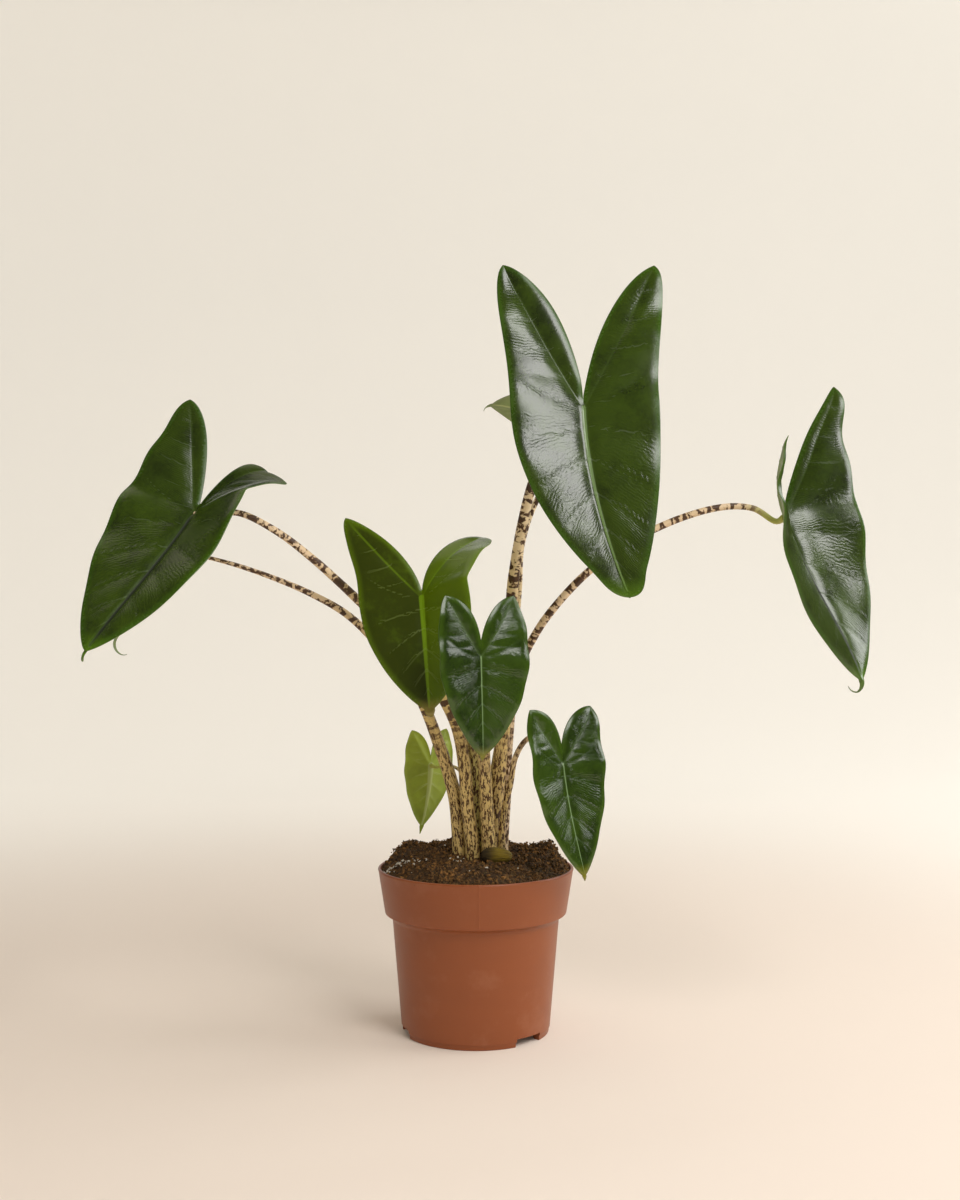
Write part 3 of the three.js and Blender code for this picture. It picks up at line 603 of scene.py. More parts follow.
def bent_spine(length, share, slope):
    """Distance forward, height and slope of a spine whose slope in radians at each share of its length is
    slope(share): the first two are running sums of its cosine and minus its sine."""
    steps = np.linspace(0, 1.6, 400)
    slopes = slope(steps)
    middle = (slopes[1:] + slopes[:-1]) / 2
    step = (steps[1] - steps[0]) * length
    forward = np.concatenate([[0], np.cumsum(np.cos(middle)) * step])
    height = np.concatenate([[0], -np.cumsum(np.sin(middle)) * step])
    return np.interp(share, steps, forward), np.interp(share, steps, height), np.interp(share, steps, slopes)


def blade_axes(leaf):
    """Directions of a blade: forward along its midrib, up from its face, and to its right."""
    heading, hang, roll = np.radians([leaf["heading"], leaf["hang"], leaf["roll"]])
    forward = np.array([np.cos(heading) * np.cos(hang), np.sin(heading) * np.cos(hang), -np.sin(hang)])
    level = np.array([np.cos(heading) * np.sin(hang), np.sin(heading) * np.sin(hang), np.cos(hang)])
    side = np.cross(forward, level)
    return forward, level * np.cos(roll) + side * np.sin(roll), side * np.cos(roll) - level * np.sin(roll)


# How slowly the fold starts to change from the stalk, and the waves along the margin: their number from the stalk to
# the tip and their height on a blade 100 mm long
FOLD_EASE, WAVE_COUNT, WAVE_HEIGHT = 0.05, 2.6, 1.2


def bend_half(leaf, half, flat):
    """Bends half a flat blade into place: the midrib or the lobe follows a bent spine, the half rises by across times
    the sine of its fold, less a droop with the cube of across, plus a wave along the margin."""
    forward, normal, right = blade_axes(leaf)
    length, half_width, lobe = leaf["length"], leaf["half_width"], leaf["lobe"][half]
    drip_length, drip_curl, _ = leaf["drip"]
    along, across = flat[..., 0], flat[..., 1]
    in_front = along > 0
    share = np.where(in_front, along / length, -along / lobe)

    def front_slope(part):
        inside = np.minimum(part, 1)
        beyond = np.maximum(part - 1, 0) / (drip_length / length)
        return np.radians(leaf["bend"] * inside + leaf["nod"] * inside**3 + drip_curl * beyond)

    def lobe_slope(part):
        return np.radians(leaf["curl"][half] * part + leaf["hook"][half] * part**3)

    front = bent_spine(length, share, front_slope)
    back = bent_spine(lobe, share, lobe_slope)
    distance, height, slope = (np.where(in_front, a, b) for a, b in zip(front, back))
    flip = np.where(in_front, 1, -1)
    end_fold = np.where(in_front, leaf["tip_fold"], leaf["lobe_fold"][half])
    eased = np.clip(share * share * (1 + FOLD_EASE) / (share + FOLD_EASE), 0, 1)
    fold = np.radians(mix(leaf["fold"][half], end_fold, eased))
    outwards = across / half_width
    wave = np.sin(along / length * WAVE_COUNT * FULL_TURN + 2 * half + leaf["roll"])
    rise = across * np.sin(fold) - leaf["droop"] * half_width * np.minimum(outwards, 1.5) ** 3
    rise = rise + WAVE_HEIGHT * length / 100 * wave * outwards**2
    sway = np.where(in_front, np.radians(leaf["sweep"]) * 0.5 * length * np.minimum(share, 1.2) ** 2, 0)
    sign = 1 if half == 1 else -1
    return (np.array(leaf["at"])
            + forward * (flip * distance + rise * flip * np.sin(slope))[..., None]
            + normal * (height + rise * np.cos(slope))[..., None]
            + right * (sign * across * np.cos(fold) + sway)[..., None])


# Side veins: share of the lobe's length where one leaves its rib, and its reach as a share of the half width; share of
# the blade's length where one leaves the midrib, its turn forwards in degrees halfway and at its end, and its reach
LOBE_VEINS = ((0.8, 0.3), (0.6, 0.52), (0.4, 0.66), (0.21, 0.8))
FRONT_VEINS = ((0.0, -4, -24, 0.95), (0.1, 13, 19, 0.98), (0.28, 30, 36, 0.95), (0.46, 42, 48, 0.8),
               (0.64, 50, 56, 0.6), (0.81, 58, 64, 0.38))
VEIN_STEPS, LOBE_VEIN_TURNS, PAST_TIP = 13, (0.25, 0.62), 1.02


def side_veins(leaf, half):
    """Side veins of half a blade in order from the lobe's tip to the blade's tip, as points of quadratic curves. Those
    of the lobe leave its rib, and turn towards the lobe's tip; the others leave the midrib and turn forwards. The
    first and the last are points just past the tips."""
    lobe, width, length = leaf["lobe"][half], leaf["half_width"], leaf["length"]
    axis, outward = lobe_axes(leaf)
    share = np.linspace(0, 1, VEIN_STEPS)
    veins = [np.repeat([axis * lobe * PAST_TIP], VEIN_STEPS, axis=0)]
    for start, reach in LOBE_VEINS:
        origin = axis * lobe * start
        early, late = (outward + turn * axis for turn in LOBE_VEIN_TURNS)
        veins.append(quadratic([origin, origin + 0.45 * reach * width * early, origin + reach * width * late], share))
    for start, *turns, reach in FRONT_VEINS:
        origin = np.array([start * length, 0])
        early, late = (np.array([np.sin(turn), np.cos(turn)]) for turn in np.radians(turns))
        veins.append(quadratic([origin, origin + 0.5 * reach * width * early, origin + reach * width * late], share))
    veins.append(np.repeat([[length * PAST_TIP, 0.0]], VEIN_STEPS, axis=0))
    return np.array(veins)


def curve_distance(points, curve):
    """Distance of each point from a curve of straight pieces."""
    start, step = curve[:-1], np.diff(curve, axis=0)
    square = np.maximum((step**2).sum(-1), 1e-9)
    to_point = points[..., None, :] - start
    share = np.clip((to_point * step).sum(-1) / square, 0, 1)
    offset = to_point - share[..., None] * step
    return np.sqrt((offset**2).sum(-1)).min(-1)


# Jumps between neighbours, in places among the side veins, that are let through and that aren't
SMALL_JUMP, LARGE_JUMP = 0.3, 0.5


def steadiness(grid):
    """1 over a grid of values, falling to 0 within two cells of a jump between neighbours."""
    jump = np.zeros(grid.shape)
    for axis in (0, 1):
        step = np.abs(np.diff(grid, axis=axis))
        before, after = np.zeros((3, 2), int), np.zeros((3, 2), int)
        before[axis, 0], after[axis, 1] = 1, 1
        jump = np.maximum(jump, np.maximum(np.pad(step, before[:2]), np.pad(step, after[:2])))
    rows, columns = grid.shape
    around = np.pad(jump, 1)
    wide = np.max([around[1 + i: 1 + i + rows, 1 + j: 1 + j + columns] for i in (-1, 0, 1) for j in (-1, 0, 1)], axis=0)
    return 1 - smoothstep(wide, SMALL_JUMP, LARGE_JUMP)


def vein_fields(leaf, half, flat, margin, side):
    """Where each point of half a blade lies among its veins: its distance from the lobe's rib, negative on the sinus
    side, from the midrib and from the margin; its place between two side veins, counted from the lobe's tip, and the
    gap between them; its share of the length, its distance from the nearest side vein, and 0 where the place jumps."""
    to_rib = curve_distance(flat, lobe_rib(leaf, half, np.linspace(0, 1, 25)))
    to_midrib = np.where(flat[..., 0] > 0, flat[..., 1], np.hypot(flat[..., 0], flat[..., 1]))
    to_midrib = to_midrib + np.maximum(flat[..., 0] - 0.97 * leaf["length"], 0)
    to_margin = curve_distance(flat, margin)
    distances = np.stack([curve_distance(flat, vein) for vein in side_veins(leaf, half)], -1)
    order = np.argsort(distances, axis=-1)
    nearest, second = order[..., 0], order[..., 1]
    pair = distances[..., :-1] + distances[..., 1:]
    between = np.where(np.abs(nearest - second) == 1, np.minimum(nearest, second), np.argmin(pair, -1))
    low = np.take_along_axis(distances, between[..., None], -1)[..., 0]
    high = np.take_along_axis(distances, between[..., None] + 1, -1)[..., 0]
    phase = between + low / np.maximum(low + high, TINY)
    two = np.sort(distances, axis=-1)[..., :2]
    return np.stack([to_rib * side, to_midrib, to_margin, phase, two.sum(-1), flat[..., 0] / leaf["length"],
                     two[..., 0], steadiness(phase)], -1)


# Relief of a blade 100 mm long, in millimetres, most of them as height and width
CREASE, CHANNEL, GROOVE, LOBE_CHANNEL = (0.15, 1.5), (0.5, 3.6), (0.45, 1.5), (0.25, 1.0)
CREST_HEIGHT, CREST_WIDTHS = 0.75, (1.7, 0.5)
WAVES, WAVE_CELL, WAVE_SEED = 0.15, 13, 3
FULL_GAP = 14
FLAP_REACH = 16
UNDER_MIDRIB, UNDER_LOBE_RIB, UNDER_VEIN = 2.4, 2.2, (0.22, 1.1)


def blade_relief(leaf, fields, flat, settings):
    """Height of the blade above its plain sheet, and its thickness below. It rises between the side veins, sinks along
    them, stands in a channel and a narrow crest at the ribs or sinks in a groove, folds up from the lobes' ribs to the
    sinus, and rolls down at the margin; the ribs and side veins stand out below."""
    scale = leaf["length"] / 100
    on_left = flat[:, 1] < 0
    to_rib, to_midrib, to_margin, _, gap, share, to_vein, _ = fields.T
    to_tip = np.clip(share, 0, 1)
    to_main = np.minimum(np.abs(to_rib), to_midrib)
    inside = smoothstep(to_margin, 0, 12 * scale) * smoothstep(to_main, 0, 7 * scale) * (to_rib >= 0)
    puff = np.sin(np.pi * to_vein / np.maximum(gap, TINY)) * np.minimum(gap / FULL_GAP, 1.2) * inside
    crease = ridge(to_vein, CREASE[1]) * smoothstep(to_margin, 3, 16 * scale)
    quilting = settings.quilt_height / MM * (0.25 + BLADE_FINISHES[leaf["look"]]["wrinkle"])
    waves = WAVES * scale * lattice_noise(flat / (1, 1.5), WAVE_CELL * scale, WAVE_SEED) * inside
    roll = settings.roll_width / MM * scale ** 0.5
    rolled = settings.roll_slope * np.where(on_left, *leaf["rolled"]) / 2 / roll * np.maximum(roll - to_margin, 0) ** 2
    relief = quilting * (puff - CREASE[0] * crease) + waves - rolled

    channel = CHANNEL[0] * scale * ridge(to_main, CHANNEL[1]) * smoothstep(to_margin, 0, 5)
    groove = GROOVE[0] * leaf["sunken"] * scale * ridge(to_midrib, GROOVE[1]) * smoothstep(flat[:, 0], 2, 12)
    lobe_channel = LOBE_CHANNEL[0] * scale * ridge(to_rib, LOBE_CHANNEL[1]) * smoothstep(to_margin, 2, 8)
    crest = CREST_HEIGHT * scale * ridge(to_midrib, mix(*CREST_WIDTHS, to_tip) * scale ** 0.5)
    crest = crest * (1 - 0.7 * to_tip) * (1 - leaf["sunken"])
    flap = np.maximum(-to_rib, 0)
    fold = np.where(on_left, *leaf["flap"]) * flap * smoothstep(to_midrib, 0, 14 * scale)
    fold = fold / (1 + flap / (FLAP_REACH * scale))

    along_lobe = np.clip(-share * leaf["length"] / leaf["lobe"][0], 0, 1)
    under_rib = np.maximum((1 - 0.8 * to_tip) * ridge(to_midrib, UNDER_MIDRIB),
                           0.7 * (1 - along_lobe) * ridge(to_rib, UNDER_LOBE_RIB))
    under_rib = settings.rib_height / MM * scale * under_rib + UNDER_VEIN[0] * scale * ridge(to_vein, UNDER_VEIN[1])
    return relief - (channel + groove + lobe_channel) + crest + fold, under_rib * smoothstep(to_margin, 0, 4) + crest


def blade_looks(leaf, fields, half):
    """Gloss, sunken midrib, tone, lean and depth of the wrinkles at each point of half a blade. The gloss runs from
    that of the lobe to that of the tip, and fades towards the margin; the wrinkles fade at the midrib and the margin
    and where side veins meet."""
    _, to_midrib, to_margin, _, gap, share, _, steady = fields.T
    scale = leaf["length"] / 100
    plain = np.ones(len(fields))
    gloss = mix(*leaf["gloss"][half], smoothstep(share, -0.12, 0.18))
    gloss = gloss * mix(0.5, 1, smoothstep(to_margin, 0, 5 * scale))
    lean = np.array(leaf["lean"][half], float)
    in_front = smoothstep(share, -0.1, 0.02)
    lean = mix(lean[:2], lean[2:], in_front[:, None])
    lean[:, 1] += leaf["edge_lean"][half] * smoothstep(to_midrib, 6, 26) * in_front
    calm = smoothstep(to_margin, 1, 6) * smoothstep(gap, 3, 10) * smoothstep(to_midrib, 1, 5) * steady
    return np.column_stack([gloss, plain * leaf["sunken"], plain * leaf["tone"][half], lean, calm])


def point_normals(points, triangles):
    """Directions square to the sheet at its points: the sums of the triangles' cross products there."""
    corners = points[triangles]
    face = np.cross(corners[:, 1] - corners[:, 0], corners[:, 2] - corners[:, 0])
    normals = np.zeros_like(points)
    for corner in range(3):
        np.add.at(normals, triangles[:, corner], face)
    return unit(normals)


def shell(sheet, number):
    """Triangles of a closed skin: the sheet, the sheet turned over with its points numbered on by number, and a rim
    along the edges that only one triangle has."""
    edges = np.concatenate([sheet[:, [0, 1]], sheet[:, [1, 2]], sheet[:, [2, 0]]])
    codes, backwards = edges[:, 0] * number + edges[:, 1], edges[:, 1] * number + edges[:, 0]
    start, end = edges[~np.isin(codes, backwards)].T
    return np.concatenate([
        sheet, sheet[:, ::-1] + number, np.stack([end, start, start + number], -1),
        np.stack([end, start + number, end + number], -1)])


def make_blade(name, leaf, settings, material):
    """A blade: both halves of its sheet, thickened along their common normals."""
    sheets, points, fields, flats, looks = [], [], [], [], []
    count = 0
    for half in (0, 1):
        main, flap, margin = flat_half(leaf, half, settings.columns)
        index = count + np.arange(main[..., 0].size).reshape(main.shape[:2])
        fold = count + main[..., 0].size + np.arange(flap[..., 0].size).reshape(flap.shape[:2])
        fold[:, 0] = index[: LOBE_ROWS + 1, 0]
        fold[-1] = fold[-1, 0]
        fold[0] = index[0, 0]
        index[0] = index[0, 0]
        index[-1] = index[-1, 0]
        if half == 1:
            middle = sheets[0][0][LOBE_ROWS:, 0]
            index[LOBE_ROWS:, 0] = middle
            index[-1] = middle[-1]
            fold[-1] = middle[0]
            joined = np.argmax(flap[:, -1, 1] < TINY)
            fold[joined:, -1] = sheets[0][1][joined:, -1]
        sheets.append((index, fold))
        count += main[..., 0].size + flap[..., 0].size
        for flat, side in ((main, 1), (flap, -1)):
            points.append(bend_half(leaf, half, flat).reshape(-1, 3))
            fields.append(vein_fields(leaf, half, flat, margin, side).reshape(-1, 8))
            flats.append((flat * (1, 1 if half == 1 else -1)).reshape(-1, 2))
            looks.append(blade_looks(leaf, fields[-1], half))
    sheet = np.concatenate([
        grid_triangles(sheets[0][0]), grid_triangles(sheets[0][1])[:, ::-1],
        grid_triangles(sheets[1][0])[:, ::-1], grid_triangles(sheets[1][1])])
    points, fields, flats, looks = map(np.concatenate, (points, fields, flats, looks))
    forward, normal, right = blade_axes(leaf)
    normals = point_normals(points, sheet)
    if (normals @ normal).mean() < 0:
        raise RuntimeError(f"the upper face of {name} looks down")

    relief, under_rib = blade_relief(leaf, fields, flats, settings)
    half_thickness = settings.thickness / MM / 2 * mix(0.45, 1, smoothstep(fields[:, 2], 0, 6))
    top = points + normals * (half_thickness + relief)[:, None]
    bottom = points + normals * (relief - half_thickness - under_rib)[:, None]
    slopes = looks[:, 3:4] * forward + looks[:, 4:5] * right
    tilt = (slopes * normals).sum(1, keepdims=True) * normals - slopes
    veins = np.column_stack([fields[:, 6], looks[:, 5], 0 * looks[:, 5]])
    both = (2, 1)
    new_piece(f"leaf_{name}", np.concatenate([top, bottom]), shell(sheet, len(points)), material,
              [f"blade_{name}"], {
                  "flat": np.column_stack([np.tile(flats, both), np.repeat([0.0, 1.0], len(points))]),
                  "ribs": np.tile(fields[:, :3], both),
                  "laterals": np.tile(fields[:, 3:6], both),
                  "looks": np.tile(looks[:, :3], both),
                  "tilt": np.concatenate([tilt, 0 * tilt]),
                  "veins": np.tile(veins, both)})


def blade_material(look):
    """Blade: mottled green with pale ribs and side veins, painted shade in the groove of a sunken midrib, a bright
    margin, a pale underside, a gloss that varies with the wax, and wrinkles between the veins."""
    finish = BLADE_FINISHES[look]
    graph = Graph(look, Specular_IOR_Level=finish["specular"])
    along, across, under = graph.parts(graph.attribute("flat"))
    to_rib, to_midrib, to_margin = graph.parts(graph.attribute("ribs"))
    phase, gap, share = graph.parts(graph.attribute("laterals"))
    to_vein, calm, _ = graph.parts(graph.attribute("veins"))
    gloss, sunken, tone = graph.parts(graph.attribute("looks"))
    flat = graph.vector(along, across, under * 0.3)
    wobble = graph.noise(flat, 0.12)
    mottle = graph.noise(flat, 0.045, 4, 0.6)
    fine = graph.noise(flat, 0.5, 3, 0.6)
    grain = graph.noise(flat, 2.2, 2)

    near = abs(phase - graph.math("ROUND", phase)) * gap + graph.math("MAXIMUM", to_vein - 1.5, 0)
    reach = graph.smooth(to_margin, 3, 18) * (0.4 + 0.9 * wobble)
    side_vein = graph.line(near + (wobble - 0.5) * 0.2, 0.6) * reach
    inside = graph.math("MINIMUM", graph.math("MAXIMUM", share, 0), 1)
    main_width = finish["rib_width"] * (1 - 0.72 * inside)
    crest = 1 - graph.smooth(to_midrib, 0.6 * main_width, main_width)
    brinks = graph.smooth(to_midrib, 0.9, 1.4) * (1 - graph.smooth(to_midrib, 1.7, 2.6))
    midrib = crest + sunken * (0.12 * brinks - crest)
    lobe_rib = graph.line(abs(to_rib), 0.9) * graph.smooth(to_margin, 0.5, 7)
    rib = graph.math("MAXIMUM", midrib, finish["lobe_rib"] * lobe_rib)
    # The groove of a sunken midrib, which is painted dark as painted shade and made rougher
    groove = sunken * (1 - graph.smooth(to_midrib, 0.5, 1.2)) * graph.smooth(along, 1, 8)

    # tone lightens each half; where a leaf's halves differ, the brighter one is painted light and the darker one
    # painted shade
    tint = graph.smooth(mottle + 0.25 * fine + 0.5 * (tone - 0.3), 0.45, 0.85)
    body = graph.mix(tint, finish["deep"], finish["bright"])
    body = graph.mix(finish["vein_share"] * side_vein, body, finish["vein"])
    body = graph.mix(0.8 * rib, body, finish["rib"])
    # Painted shade: the groove of a sunken midrib is painted nearly black-green
    body = graph.mix(0.7 * groove, body, (14, 22, 5))
    rolled = 0.6 * (1 - graph.smooth(to_margin, 0.5, 4.2)) * (0.5 + mottle)
    body = graph.mix(rolled, body, finish["edge"])
    body = graph.mix(graph.smooth(share + 0.06 * wobble, 0.9, 1.05) * 0.75, body, finish["tip"])
    pale = graph.mix(graph.smooth(mottle, 0.35, 0.75), finish["under"], tuple(0.86 * part for part in finish["under"]))
    pale = graph.mix(0.6 * graph.math("MAXIMUM", crest, side_vein), pale, (186, 196, 130))

    ripple = graph.math("SINE", phase * 64 + wobble * 22)
    wrinkles = graph.noise(graph.vector(phase * 16, to_midrib * 0.4, under), 1.0, 3, 0.6)
    height = (0.3 * ripple + 1.1 * wrinkles) * calm + 0.5 * fine - 0.12 * side_vein
    roughness = finish["roughness"] + 0.12 * (1 - gloss) + 0.1 * (mottle - 0.5) + 0.1 * (fine - 0.5) + 0.3 * side_vein
    normal = graph.node("ShaderNodeNewGeometry", output="Normal")
    leaning = graph.vector_math("NORMALIZE", graph.vector_math("ADD", normal, graph.attribute("tilt")))
    return graph.set(
        Base_Color=graph.mix(under, body, pale),
        Roughness=graph.math("MAXIMUM", roughness + under * (0.45 - roughness), 0.16) + 0.4 * groove,
        Normal=graph.bump(height * finish["wrinkle"] + 0.12 * grain, 0.00022, Normal=leaning),
    )


def stalk_curve(points, share):
    """Points of a centripetal Catmull-Rom curve through the given points, at even shares of its length. Each piece is
    the cubic whose end slopes come from the neighbouring points, spaced by the square root of their distances."""
    ends = [2 * points[0] - points[1], 2 * points[-1] - points[-2]]
    full = np.concatenate([[ends[0]], points, [ends[1]]])
    spans = np.linalg.norm(np.diff(full, axis=0), axis=1)[:, None] ** 0.5
    t0, t1, t2 = spans[:-2], spans[1:-1], spans[2:]
    x0, x1, x2, x3 = full[:-3], full[1:-2], full[2:-1], full[3:]
    slope1 = ((x1 - x0) / t0 - (x2 - x0) / (t0 + t1) + (x2 - x1) / t1) * t1
    slope2 = ((x2 - x1) / t1 - (x3 - x1) / (t1 + t2) + (x3 - x2) / t2) * t1
    part = np.linspace(0, 1, 60, endpoint=False)[None, :, None]
    c2 = -3 * x1 + 3 * x2 - 2 * slope1 - slope2
    c3 = 2 * x1 - 2 * x2 + slope1 + slope2
    dense = x1[:, None] + slope1[:, None] * part + c2[:, None] * part**2 + c3[:, None] * part**3
    dense = np.concatenate([dense.reshape(-1, 3), points[-1:]])
    run = np.concatenate([[0], np.cumsum(np.linalg.norm(np.diff(dense, axis=0), axis=1))])
    return np.stack([np.interp(share * run[-1], run, dense[:, axis]) for axis in range(3)], -1), run[-1]


# Stalk: lengthwise ridges and the share of the radius that they and an uneven skin add; the swelling at the blade and
# its length; the lengths from the foot between which streaks give way to bands; the shares of the length between which
# one tint gives way to the other, and for a green end the distances from the blade between which that happens and
# between which the marks end; and the step that sets each stalk's marks apart
RIDGES, RIDGE_SHARE, UNEVEN_SHARE, UNEVEN_CELL, UNEVEN_SEED = 5, 0.025, 0.03, 3.5, 11
SWELLING, SWELLING_LENGTH = 0.7, 3.5
STREAKS_END, BANDS_START = 68, 118
TINT_CHANGE = (0.35, 0.8)
GREEN_TINT_CHANGE, PLAIN_GREEN = (34, 10), (30, 12)
MARK_SHIFT = 37


def make_stalk(name, leaf, settings, material):
    """A stalk: circles along the curve, whose radius falls from base to blade, swells into the blade at its end and is
    ridged a little lengthwise. The plane of each circle follows the curve, from one fixed direction."""
    normal = blade_axes(leaf)[1]
    at = np.array(leaf["at"], float)
    x, y = leaf["base"]
    points = np.array([
        (x, y, CORM_TOP), (x, y, (CORM_TOP + SOIL_CLEAR) / 2), (x, y, SOIL_CLEAR), *leaf["stalk"],
        at - normal * NECK, at - normal * SEAT])
    length = stalk_curve(points, np.zeros(1))[1]
    rings = int(length / (settings.ring_step / MM)) + 2
    share = np.linspace(0, 1, rings)
    centres = stalk_curve(points, share)[0]
    tangents = np.gradient(centres, axis=0)
    tangents[0] = (0, 0, 1)
    tangents[-1] = normal
    tangents = unit(tangents)
    fixed = np.linalg.svd(tangents)[2][-1]
    across = unit(fixed - (tangents @ fixed)[:, None] * tangents)
    upward = np.cross(tangents, across)

    sides = settings.sides
    angle = np.arange(sides) / sides * FULL_TURN
    base_radius, top_radius = leaf["radii"]
    run = share * length
    radius = mix(top_radius, base_radius, (1 - share) ** leaf["taper"])
    radius = radius + SWELLING * ridge(length - run, SWELLING_LENGTH)
    ring = np.stack([np.cos(angle), np.sin(angle)], -1)
    skin = np.concatenate([
        np.broadcast_to(ring * base_radius, (rings, sides, 2)),
        np.broadcast_to(run[:, None, None], (rings, sides, 1))], -1)
    ridges = RIDGE_SHARE * np.sin(RIDGES * angle + leaf["heading"])[None] * smoothstep(200 - run, 0, 120)[:, None]
    uneven = UNEVEN_SHARE * lattice_noise(skin / (1, 1, 3), UNEVEN_CELL, UNEVEN_SEED)
    spread = (radius[:, None] * (1 + ridges) * (1 + uneven))[..., None]
    surface = centres[:, None] + spread * (ring[None, :, :1] * across[:, None] + ring[None, :, 1:] * upward[:, None])
    index = round_index(rings, sides, False, False)
    last = rings * sides
    start = np.stack([np.full(sides + 1, last), index[0]])
    end = np.stack([index[-1], np.full(sides + 1, last + 1)])
    faces = np.concatenate([grid_triangles(part) for part in (index, start, end)])[:, ::-1]

    lower, upper = (np.array(linear(STALK_TINTS[tint])) for tint in leaf["tints"])
    green = float(leaf["tints"][1] == "green")
    change = length - np.array(GREEN_TINT_CHANGE) if green else length * np.array(TINT_CHANGE)
    tint = np.repeat(mix(lower, upper, smoothstep(run, *change)[:, None]), sides, axis=0)
    low = np.repeat(smoothstep(run, STREAKS_END, BANDS_START), sides)
    plain = np.repeat(green * smoothstep(run, *(length - np.array(PLAIN_GREEN))), sides)
    shift = MARK_SHIFT * (list(LEAVES).index(name) + 1)
    skin = np.concatenate([skin.reshape(-1, 3), [[0, 0, 0], [0, 0, length]]])
    bands = np.column_stack([[*low, 0, 1], [*plain, 0, green], np.full(last + 2, shift)])
    new_piece(f"stalk_{name}", np.concatenate([surface.reshape(-1, 3), centres[[0, -1]]]), faces, material,
              [f"petiole_{name}"], {
                  "skin": skin + (0, 0, shift * 3.1), "tint": np.concatenate([tint, tint[[0, -1]]]), "bands": bands})


def petiole_material(settings):
    """Stalk skin: a pale ground with brown marks, which are fine upright streaks low down and bold cross bands
    higher up."""
    graph = Graph("petiole", Specular_IOR_Level=0.45)
    skin = graph.attribute("skin")
    high, plain, _ = graph.parts(graph.attribute("bands"))
    tint = graph.attribute("tint", 0)
    streaks = graph.streaks(skin, (0.74, 0.74, 0.3), roughness=0.6, distortion=0.3)
    specks = graph.streaks(skin, (1.3, 1.3, 0.7), (5, 2, 9), detail=2, roughness=0.5)
    bands = graph.streaks(skin, (0.1, 0.1, 0.32), (3, 1, 4), detail=2, roughness=0.5, distortion=0.5)
    ragged = graph.streaks(skin, (0.6, 0.6, 0.5), (7, 4, 2), roughness=0.6)
    cloud = graph.streaks(skin, (0.2, 0.2, 0.07), (1, 8, 3), detail=2)
    grain = graph.streaks(skin, (3, 3, 0.5))
    low_mark = graph.smooth(streaks + 0.3 * (specks - 0.5), 0.5, 0.535)
    high_mark = graph.smooth(bands + 0.3 * (ragged - 0.5), 0.485, 0.53)
    mark = (low_mark + high * (high_mark - low_mark)) * (1 - plain)
    halo = graph.smooth(streaks + high * (bands - streaks), 0.44, 0.53) * (1 - plain)
    ground = graph.mix(graph.smooth(cloud, 0.4, 0.7) * 0.3, tint, (190, 160, 106))
    ground = graph.mix(halo * 0.3, ground, (160, 118, 66))
    deep = graph.mix(graph.smooth(ragged, 0.35, 0.65), (*settings.band_color, 1.0), (80, 47, 17))
    return graph.set(
        Base_Color=graph.mix(mark * 0.97, ground, deep),
        Roughness=0.44 + 0.12 * grain - 0.06 * mark,
        Normal=graph.bump(grain + 0.4 * mark, 0.00012, 0.8),
    )


class BuildBlades(bpy.types.Operator):
    """Make every blade of the plant"""

    bl_idname = "plant.blades"
    bl_label = "Blades"

    def execute(self, context):
        materials = {look: blade_material(look) for look in BLADE_FINISHES}
        for name, leaf in LEAVES.items():
            make_blade(name, leaf, context.scene.plant_blades, materials[leaf.get("finish", leaf["look"])])
        return {"FINISHED"}


class BuildStalks(bpy.types.Operator):
    """Make every banded stalk"""

    bl_idname = "plant.stalks"
    bl_label = "Stalks"

    def execute(self, context):
        settings = context.scene.plant_stalks
        material = petiole_material(settings)
        for name, leaf in LEAVES.items():
            make_stalk(name, leaf, settings, material)
        return {"FINISHED"}


POT_SHOULDER_RADIUS, POT_BAND_FOOT_RADIUS, POT_STEP = 51, 55.7, 5
POT_FLOOR, POT_FOOT_WIDTH, POT_RECESS, POT_BOSS = 5, 4.5, 2.4, 13
# Drain notches: the size of the block that is cut away, half of it under the foot, its first direction in degrees, how
# far it stands outside the foot and the share by which its upper half is narrower
NOTCHES, NOTCH_SIZE, NOTCH_START, NOTCH_OUTSIDE, NOTCH_NARROWING = 3, (12, 21, 10), -45, 2, 0.06
# The mould line: its direction in degrees, its half width in radians and its height in millimetres
MOULD_LINE, MOULD_WIDTH, MOULD_HEIGHT = -88, 0.006, 0.16
SHARP_ANGLE = 38


def pot_wall(settings, height):
    """Outer radius of the pot at a height: straight walls and band, joined by a step that swells with the square of
    the height."""
    top, band = settings.height / MM, settings.band_height / MM
    foot = top - band
    shoulder = foot - POT_STEP
    on_band = mix(POT_BAND_FOOT_RADIUS, settings.rim_radius / MM, (height - foot) / band)
    on_step = mix(POT_SHOULDER_RADIUS, POT_BAND_FOOT_RADIUS, np.clip((height - shoulder) / POT_STEP, 0, 1) ** 2)
    on_wall = mix(settings.base_radius / MM, POT_SHOULDER_RADIUS, height / shoulder)
    return np.where(height >= foot, on_band, np.where(height >= shoulder, on_step, on_wall))


def corner(centre, radius, first, last, steps=5):
    """Arc of a rounded edge, from the first to the last direction in degrees."""
    angle = np.radians(np.linspace(first, last, steps))
    return np.stack([centre[0] + radius * np.cos(angle), centre[1] + radius * np.sin(angle)], -1)


